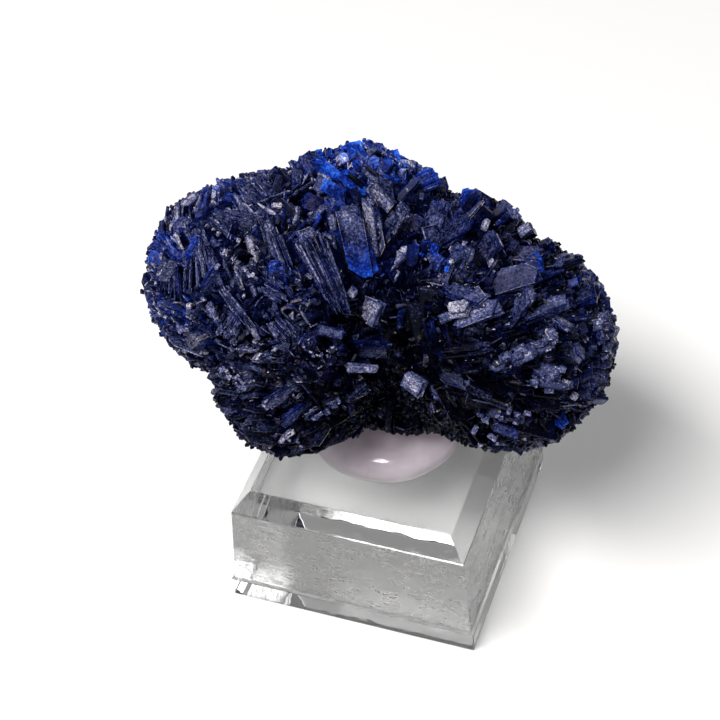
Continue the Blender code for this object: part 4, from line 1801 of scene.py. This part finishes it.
    def stalks(self, parents: Batch) -> Batch:
        """Dark crystals under those that lie on the surface, which join them to the mass.

        They reach down square to the broad side, from just under the top of each parent.

        Args:
            parents: The crystals that they carry.

        Returns:
            The stalks.
        """
        down = 0.5 * self.stalk_height - 0.3 * parents.size[:, 2:]
        size = self.stalk_share * parents.size
        size[:, 2] = self.stalk_height
        look = np.tile((0.15, 0.0, 0.0, 0.0, 0.0), (len(size), 1))
        return replace(parents, centre=parents.centre - parents.face * down, size=size, look=look)

    def dressed(self, crystals: Batch, rng: Dice, rust: float) -> Batch:
        """The crystals with the looks of the zones that they stand in, each a little its own.

        Those that are low on the body are darker and have less painted sheen, where there isn't
        much druse: painted shade. On the left more of the small ones get painted glints or are
        stained, and all have less or more painted sheen at random. Their free ends are bluer and
        have more painted sheen than their roots: painted shade at the roots.

        Args:
            crystals: The crystals.
            rng: The dice.
            rust: Sets the share of the smallest that is stained: 0.15 of it, or 2.15 on the left.

        Returns:
            The same crystals, with looks.
        """
        tips = crystals.tip()
        depth, frost, druse = zone_values(tips).T
        count = len(tips)
        left = on_the_left(tips, (2.0, 10.0), (-2.0, 4.0))
        # Painted shade: crystals near the body's surface, less so on the left, are darker and have
        # less painted sheen where there isn't much druse.
        low = 1.0 - smooth_step(self.body.height(tips) + 1.1 * left, 0.3, 2.5)
        low *= 1.0 - smooth_step(druse, 0.4, 0.8)
        depth, frost = depth - 0.26 * low, frost - 0.40 * low
        depth = depth + np.minimum(rng.normal(0.0, 0.10, count), 0.12)
        # Painted glints: a few small crystals, more on the left, get much more painted sheen.
        painted_glint = (rng.random(count) < 0.05 + 0.19 * left) * rng.uniform(0.5, 1.2, count)
        painted_glint *= crystals.size[:, 0] < 2.6
        frost = frost + rng.normal(0.0, 1.0, count) * (0.22 + 0.14 * left) + painted_glint
        stain = (rng.random(count) < rust * (0.15 + 2.0 * left)) * rng.uniform(0.2, 0.7, count)
        stain *= crystals.size[:, 0] < 1.3
        # Painted shade at the roots: the free ends are bluer and, by the last column, have more
        # painted sheen.
        deeper = rng.normal(0.14, 0.06, count) - 0.10 * left
        look = np.stack([depth, frost, stain, deeper, rng.normal(0.12, 0.10, count)], 1)
        return replace(crystals, look=look)

    def scattered(self, growth: Growth) -> Batch:
        """The crystals of that generation, with their looks.

        Args:
            growth: The generation.

        Returns:
            Its crystals, all over the body.
        """
        rng = np.random.default_rng(growth.seed)
        points, normals = self.body.spread(growth.spacing, growth.seed)
        rim = smooth_step(-np.abs(normals[:, 2] + 0.1), -0.75, -0.35)
        points = points + normals * (growth.lift + growth.brim * rim)[:, None]
        sizes = rng.uniform(growth.low, growth.high, (len(points), 4))
        scatter = np.radians(rng.normal(growth.lie, growth.spread, (len(points), 3)))
        scatter[:, 2] += math.radians(growth.swirl) * lumps(points, 4.0, growth.seed)
        crystals = self.body.rooted(points, normals, scatter, sizes[:, :3], sizes[:, 3])
        return self.dressed(crystals, rng, growth.rust).deepened(growth.brim * rim)

    def off_the_faces(self, crystals: Batch, blades: Batch, margin: float) -> Batch:
        """The crystals that don't stand in front of the open part of a blade's broad side.

        A crystal is tested at four places along its length, up to 6 mm in front of the blade, and
        only where the blade comes out of the body.

        Args:
            crystals: The crystals to choose from.
            blades: The blades that stay in sight.
            margin: How far beside a blade counts as in front of it, in mm.

        Returns:
            Those that are left.
        """
        hidden = np.zeros(len(crystals.centre), bool)
        axes = np.stack([blades.along, blades.across(), blades.face], 1)
        half = crystals.tip() - crystals.centre
        for share in (-0.8, -0.3, 0.3, 1.0):
            place = crystals.centre + share * half
            local = np.einsum("nbd,bkd->nbk", place[:, None] - blades.centre[None], axes)
            inside = (np.abs(local[..., :2]) < blades.size[None, :, :2] * 0.5 + margin).all(axis=2)
            height = local[..., 2]
            above = (height > -0.4 * blades.size[None, :, 2]) & (height < 6.0)
            crystal, blade = np.nonzero(inside & above)
            spot = local[crystal, blade]
            spot[:, 2] = 0.5 * blades.size[blade, 2]
            face = blades.centre[blade] + np.einsum("pk,pkd->pd", spot, axes[blade])
            hidden[crystal[self.body.height(face) > 0.2]] = True
        return crystals.pick(~hidden)

    def grains(self, blades: Batch, rng: Dice) -> Batch:
        """Tiny blocky crystals on the broad sides of the blades, more on the larger ones.

        Args:
            blades: What they sit on.
            rng: The dice.

        Returns:
            The grains.
        """
        number = self.grain_number
        area = blades.size[:, 0] * blades.size[:, 1]
        host = blades.pick(rng.choice(len(area), number, p=area / area.sum()))
        forward = rng.uniform(-0.46, 0.46, number)
        sideways = rng.uniform(-0.42, 0.42, number) * (1.0 - 1.6 * forward**2)
        centre = host.moved(np.column_stack([forward, sideways, np.full(number, 0.46)]))
        along = unit(host.along + rng.normal(0.0, 0.6, centre.shape))
        face = unit(host.face + rng.normal(0.0, 0.45, centre.shape))
        face = unit(square_to(along, face))
        length = rng.uniform(*self.grain_size, number)
        sizes = length[:, None] * rng.uniform((1.0, 0.55, 0.3), (1.0, 0.9, 0.6), (number, 3))
        look = host.look.copy()
        look[:, 0] += rng.normal(0.05, 0.14, number)
        # A few grains get much more painted sheen: painted glints.
        look[:, 1] += rng.normal(0.0, 0.24, number) + (rng.random(number) < 0.08) * 0.6
        look[:, 3:] = 0.0
        return Batch(centre, along, face, sizes, look)

    def thinned_druse(self, dice: Dice) -> Batch:
        """The small and larger blocks, where the zones want druse, and small ones at the outline.

        A small block stays where the zone's share of druse, with up to 0.45 more at the outline,
        beats one draw and the bare share stays under another. A larger one has a draw of its own.

        Args:
            dice: Decides which of them stay.

        Returns:
            Those that stay.
        """
        druse, blocks = self.scattered(self.druse), self.scattered(self.blocks)
        count = len(druse.centre)
        share = zone_values(druse.centre)[:, 2]
        rim = smooth_step(-np.abs(unit(druse.centre)[:, 2]), -0.6, -0.25)
        wanted = share + 0.45 * rim > dice.uniform(0.25, 1.0, count)
        thick = zone_values(blocks.centre)[:, 2] > dice.uniform(0.5, 0.8, len(blocks.centre))
        wanted &= share < dice.uniform(0.65, 1.05, count)
        return Batch.joined(druse.pick(wanted), blocks.pick(thick))

    def mixed_plates(self, dice: Dice) -> Batch:
        """The middle-sized plates, and fibres on the left, where there isn't thick druse.

        Args:
            dice: Decides which fibres stay.

        Returns:
            The plates and fibres.
        """
        fibres = self.scattered(self.fibres)
        left = on_the_left(fibres.centre, (3.0, 9.0), (-4.0, 2.0))
        fibres = fibres.pick(left > dice.random(len(left)))
        plates = Batch.joined(self.scattered(self.plates), fibres)
        return plates.pick(zone_values(plates.tip())[:, 2] < 0.85)

    def build(self) -> list[Piece]:
        """Builds and dresses all of the azurite.

        Blades are grown first, then what stands between them, and grains on top of both.

        Returns:
            Its pieces.
        """
        material = self.finish.material()
        rng, dice = np.random.default_rng(self.seed), np.random.default_rng(self.druse_seed)
        lift = self.body.lift
        big = self.body.listed(LARGE_BLADES, self.body.sunk)
        accents = self.body.listed(ACCENTS, -lift)
        laths = [row for sheaf in SHEAVES for row in sheaf.rows(rng)]
        sheaves = self.body.listed(laths, -0.7 * lift)
        sheaves.look[:, :2] += rng.normal((0.04, -0.06), (0.06, 0.18), (len(laths), 2))
        steps = self.body.listed([row for stair in STAIRS for row in stair.rows(rng)], -lift)
        large = Batch.joined(big, accents)
        small = self.dressed(self.body.small_blades(), rng, 0.0)
        # Thick druse leaves no room for small blades.
        small = small.pick(zone_values(small.tip())[:, 2] < 0.78)
        # Only narrow blades that aren't bright or stained have laths and a saw edge.
        blue, frost, stain, _, _ = big.look.T
        plain = (stain == 0.0) & (big.size[:, 1] < 2.7) & (blue < 0.5)

        def clear(crystals: Batch, margin: float = 0.1) -> Batch:
            """Those of the crystals that leave the large blades open to the view."""
            return self.off_the_faces(crystals, large, margin)

        def piece(name: str, habit: Habit, crystals: Batch, own: Dice = rng) -> Piece:
            """The crystals as a piece of the azurite."""
            return habit.shell(f"azurite_{name}", crystals, own, self.limits).build(material)

        blades = Batch.joined(
            self.packets(large, rng, plates=3, narrow=0.22),
            self.laths(big.pick(plain & (frost < 0.5)), rng, number=4, share=0.35),
            clear(self.packets(small, rng, plates=4, narrow=0.35)),
            clear(self.laths(small, rng, number=2, share=0.5)),
            sheaves,
            steps,
        )
        teeth = Batch.joined(
            self.teeth(big.pick(plain & (frost < 0.7)), rng, number=14),
            clear(self.teeth(small, rng, number=9)),
        )
        druse = self.thinned_druse(dice)
        between = (self.mixed_plates(dice), self.scattered(self.chips), druse)
        laid = Batch.joined(sheaves, steps)
        plates, chips, druse = (
            self.off_the_faces(clear(batch, 0.15), laid, 0.05) for batch in between
        )
        # Stained crystals carry no grains.
        hosts = Batch.joined(blades, plates)
        grains = self.grains(hosts.pick(hosts.look[:, 2] == 0.0), rng)
        stalks = self.stalks(Batch.joined(accents, steps, sheaves))
        in_front = druse.centre[:, 2] > 0.0
        return [
            self.build_core(material),
            piece("blades", BLADE, blades),
            piece("stalks", BLOCK, stalks, np.random.default_rng(self.stalk_seed)),
            piece("plates", BLADE, plates),
            piece("chips", BLADE, chips),
            piece("druse_front", BLOCK, druse.pick(in_front)),
            piece("druse_back", BLOCK, druse.pick(~in_front)),
            piece("teeth", BLOCK, teeth),
            piece("grains", BLOCK, grains),
        ]


# ---- The bead and the base ----


@dataclass
class Bead:
    """The bead of glue: low, not quite round and flat on top, with a shallow dent.

    Attributes:
        foot: The middle of its foot, in mm.
        radius: Radius of the foot.
        height: Height of the middle.
        fullness: Power p of the profile.
        grid: Rings and sides of its mesh.
        waves: Number round the edge, depth as a share of the radius, and phase of each wave.
        dent: Place and radii of the dent, in mm, in two directions.
        dent_depth: Its depth as a share of the height.
        finish: Its material.
    """

    foot: Triple = (0.0, 1.6, 19.05)
    radius: float = 10.2
    height: float = 4.4
    fullness: float = 2.6
    grid: tuple[int, int] = (64, 160)
    waves: tuple[Triple, ...] = ((3.0, 0.012, 0.6), (7.0, 0.006, 0.0))
    dent: tuple[Pair, Pair] = ((3.0, 2.2), (-6.0, 1.4))
    dent_depth: float = 0.10
    finish: GlueFinish = field(default_factory=GlueFinish)

    def build(self) -> Piece:
        """Builds and dresses it.

        With t from 0 at the top to a quarter turn at the foot, a point of the profile is at
        radius R sin(t)^(2/p) and height H cos(t)^(2/p). The last rings draw the foot in. A wave
        takes up to twice its depth off the radius, and the dent is a bell curve.

        Returns:
            The piece.
        """
        rings, sides = self.grid
        step = np.linspace(0.0, 1.0, rings)
        turn = np.clip(step / 0.94, 0.004, 1.0) * math.pi / 2.0
        power = 2.0 / self.fullness
        foot_share = smooth_step(step, 0.95, 1.0)
        out = self.radius * np.sin(turn) ** power * (1.0 - 0.5 * foot_share)
        high = self.height * np.maximum(np.cos(turn), 0.0) ** power
        around = FULL_TURN * np.arange(sides) / sides
        wobble = np.ones(sides)
        for number, depth, phase in self.waves:
            wobble -= depth * (1.0 + np.sin(number * around + phase))
        flat_x = out[:, None] * (np.cos(around) * wobble)[None]
        flat_y = out[:, None] * (np.sin(around) * wobble)[None]
        level = np.broadcast_to(high[:, None], flat_x.shape)
        points = np.stack([flat_x, flat_y, level], -1).reshape(-1, 3)
        (dent_x, reach_x), (dent_y, reach_y) = self.dent
        away_x, away_y = (points[:, 0] - dent_x) / reach_x, (points[:, 1] - dent_y) / reach_y
        points[:, 2] *= 1.0 - self.dent_depth * np.exp(-(away_x**2) - away_y**2)
        vertices = (points + np.array(self.foot)) * MM
        shell = Shell("glue_bead_visual", vertices, rings_to_triangles(rings, sides))
        return shell.build(self.finish.material(), smooth=True)


@dataclass
class Base:
    """The acrylic block, with its edges very slightly rounded.

    Attributes:
        profile: Half widths and heights in mm, from the middle of the top to the underside.
        rounding: Radius of its upright edges.
        corner_steps: Steps round each upright edge.
        finish: Its material.
    """

    profile: tuple[Pair, ...] = (
        (13.40, 18.75), (13.50, 18.68), (15.53, 16.15), (15.61, 15.98),
        (16.43, 3.45), (16.72, 3.20), (16.75, 3.08), (16.75, 0.12), (16.63, 0.0),
    )
    rounding: float = 0.18
    corner_steps: int = 4
    finish: AcrylicFinish = field(default_factory=AcrylicFinish)

    def build(self) -> Piece:
        """Builds and dresses it.

        At each level the outline is a square of that half width, with quarter circles for corners.

        Returns:
            The piece.
        """
        steps = self.corner_steps + 1
        corner, step = np.meshgrid(np.arange(4), np.arange(steps), indexing="ij")
        angle = ((corner + step / self.corner_steps) * math.pi / 2.0).ravel()
        middle = (corner * math.pi / 2.0 + math.pi / 4.0).ravel()
        half, height = np.array(self.profile).T
        inner = (half - self.rounding)[:, None]
        flat_x = inner * np.sign(np.cos(middle)) + self.rounding * np.cos(angle)
        flat_y = inner * np.sign(np.sin(middle)) + self.rounding * np.sin(angle)
        level = np.broadcast_to(height[:, None], flat_x.shape)
        points = np.stack([flat_x, flat_y, level], -1).reshape(-1, 3)
        triangles = rings_to_triangles(len(half), 4 * steps)
        return Shell("acrylic_base_visual", points * MM, triangles).build(self.finish.material())


# ---- The studio ----


@dataclass(frozen=True)
class Lamp:
    """A soft oblong light.

    Attributes:
        name: Its name.
        place: Where it stands, in metres.
        size: Its width and height in metres.
        power: Watts.
        colour: Its colour.
    """

    name: str
    place: Triple
    size: Pair
    power: float
    colour: Colour = (1.0, 1.0, 1.0)

    def build(self, target: Array) -> Piece:
        """Builds it, aimed at the target.

        Args:
            target: A place in metres.

        Returns:
            The lamp's object.
        """
        data = bpy.data.lights.new(self.name, "AREA")
        data.shape = "RECTANGLE"
        data.size, data.size_y = self.size
        data.energy = self.power
        data.color = self.colour
        lamp = bpy.data.objects.new(self.name, data)
        back = Vector(np.array(self.place) - target)
        turned = back.to_track_quat("Z", "Y").to_matrix().to_4x4()
        lamp.matrix_world = Matrix.Translation(self.place) @ turned
        lamp.visible_camera = False
        bpy.context.scene.collection.objects.link(lamp)
        return lamp


@dataclass
class Studio:
    """A pale floor, soft lamps, a grey surround and the camera.

    Attributes:
        target: What the lamps are aimed at, in metres.
        lamps: The lamps.
        surround: Brightness of the surround.
        camera_place: Where the camera stands, in metres.
        lens: Its focal length in mm.
        floor_size: Length of the floor's side in metres.
        floor_height: Height of the floor, a hair under the object, in metres.
        floor_finish: The floor's material.
    """

    target: Triple = (0.0, 0.0, 0.03)
    lamps: tuple[Lamp, ...] = (
        Lamp("key_lamp", (-0.12, -0.22, 0.50), (0.36, 0.16), 3.8, (1.0, 0.985, 0.97)),
        Lamp("fill_lamp", (0.45, -0.55, 0.50), (0.35, 0.35), 0.3, (0.95, 0.97, 1.0)),
        Lamp("low_lamp", (0.15, -0.50, 0.14), (0.30, 0.30), 0.2),
        Lamp("back_lamp", (0.15, 0.60, 0.35), (0.35, 0.35), 0.8),
    )
    surround: float = 0.26
    camera_place: Triple = (0.0647, -0.1520, 0.2030)
    lens: float = 95.0
    floor_size: float = 6.0
    floor_height: float = -0.00005
    floor_finish: FloorFinish = field(default_factory=FloorFinish)

    def build(self) -> None:
        """Builds all of it."""
        for lamp in self.lamps:
            lamp.build(np.array(self.target))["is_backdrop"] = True
        self.build_floor()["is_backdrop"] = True
        world = bpy.data.worlds.new("surround")
        world.use_nodes = True
        background = world.node_tree.nodes["Background"]
        background.inputs["Color"].default_value = rgba((self.surround,) * 3)
        bpy.context.scene.world = world
        self.build_camera()
        bpy.context.scene.view_settings.view_transform = "Standard"

    def build_floor(self) -> Piece:
        """The table top."""
        half = self.floor_size / 2.0
        corners = np.array([(-half, -half), (half, -half), (half, half), (-half, half)])
        points = np.column_stack([corners, np.full(4, self.floor_height)])
        shell = Shell("table_top", points, np.array([(0, 1, 2), (0, 2, 3)]))
        return shell.build(self.floor_finish.material())

    def build_camera(self) -> None:
        """The camera, which looks at the display side."""
        data = bpy.data.cameras.new("camera")
        data.lens = self.lens
        data.clip_start = 0.01
        camera = bpy.data.objects.new("camera", data)
        turned = Matrix(DISPLAY.axes()).transposed().to_4x4()
        camera.matrix_world = Matrix.Translation(self.camera_place) @ turned
        bpy.context.scene.collection.objects.link(camera)
        bpy.context.scene.camera = camera


# ---- Assembly ----


def note_sizes(sizes: dict[str, Any], moment: str) -> None:
    """Args:
        sizes: The boxes noted so far, which get the new box too.
        moment: Name of the new box.
    """
    low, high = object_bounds()
    sizes[moment] = {
        "low": [float(value) for value in low],
        "high": [float(value) for value in high],
        "size": [float(upper - lower) for lower, upper in zip(low, high)],
    }


def main() -> None:
    """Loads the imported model, builds the looks in its place and sets up the studio."""
    logging.basicConfig(level=logging.INFO, format="%(name)s: %(message)s")
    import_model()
    sizes: dict[str, Any] = {}
    note_sizes(sizes, "cad")

    low, high = (tuple(np.array(corner) / MM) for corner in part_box("azurite_cluster"))
    glue = Bead()
    azurite = Azurite(Limits(low, high, glue)).build()
    for piece in azurite:
        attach(piece, BODY)
    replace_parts(azurite[0], "azurite_cluster")
    bead = glue.build()
    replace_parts(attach(bead, BODY), "glue_bead")
    base = Base().build()
    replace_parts(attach(base, BODY), "acrylic_base")

    Studio().build()
    note_sizes(sizes, "visual")


if __name__ == "__main__":
    main()
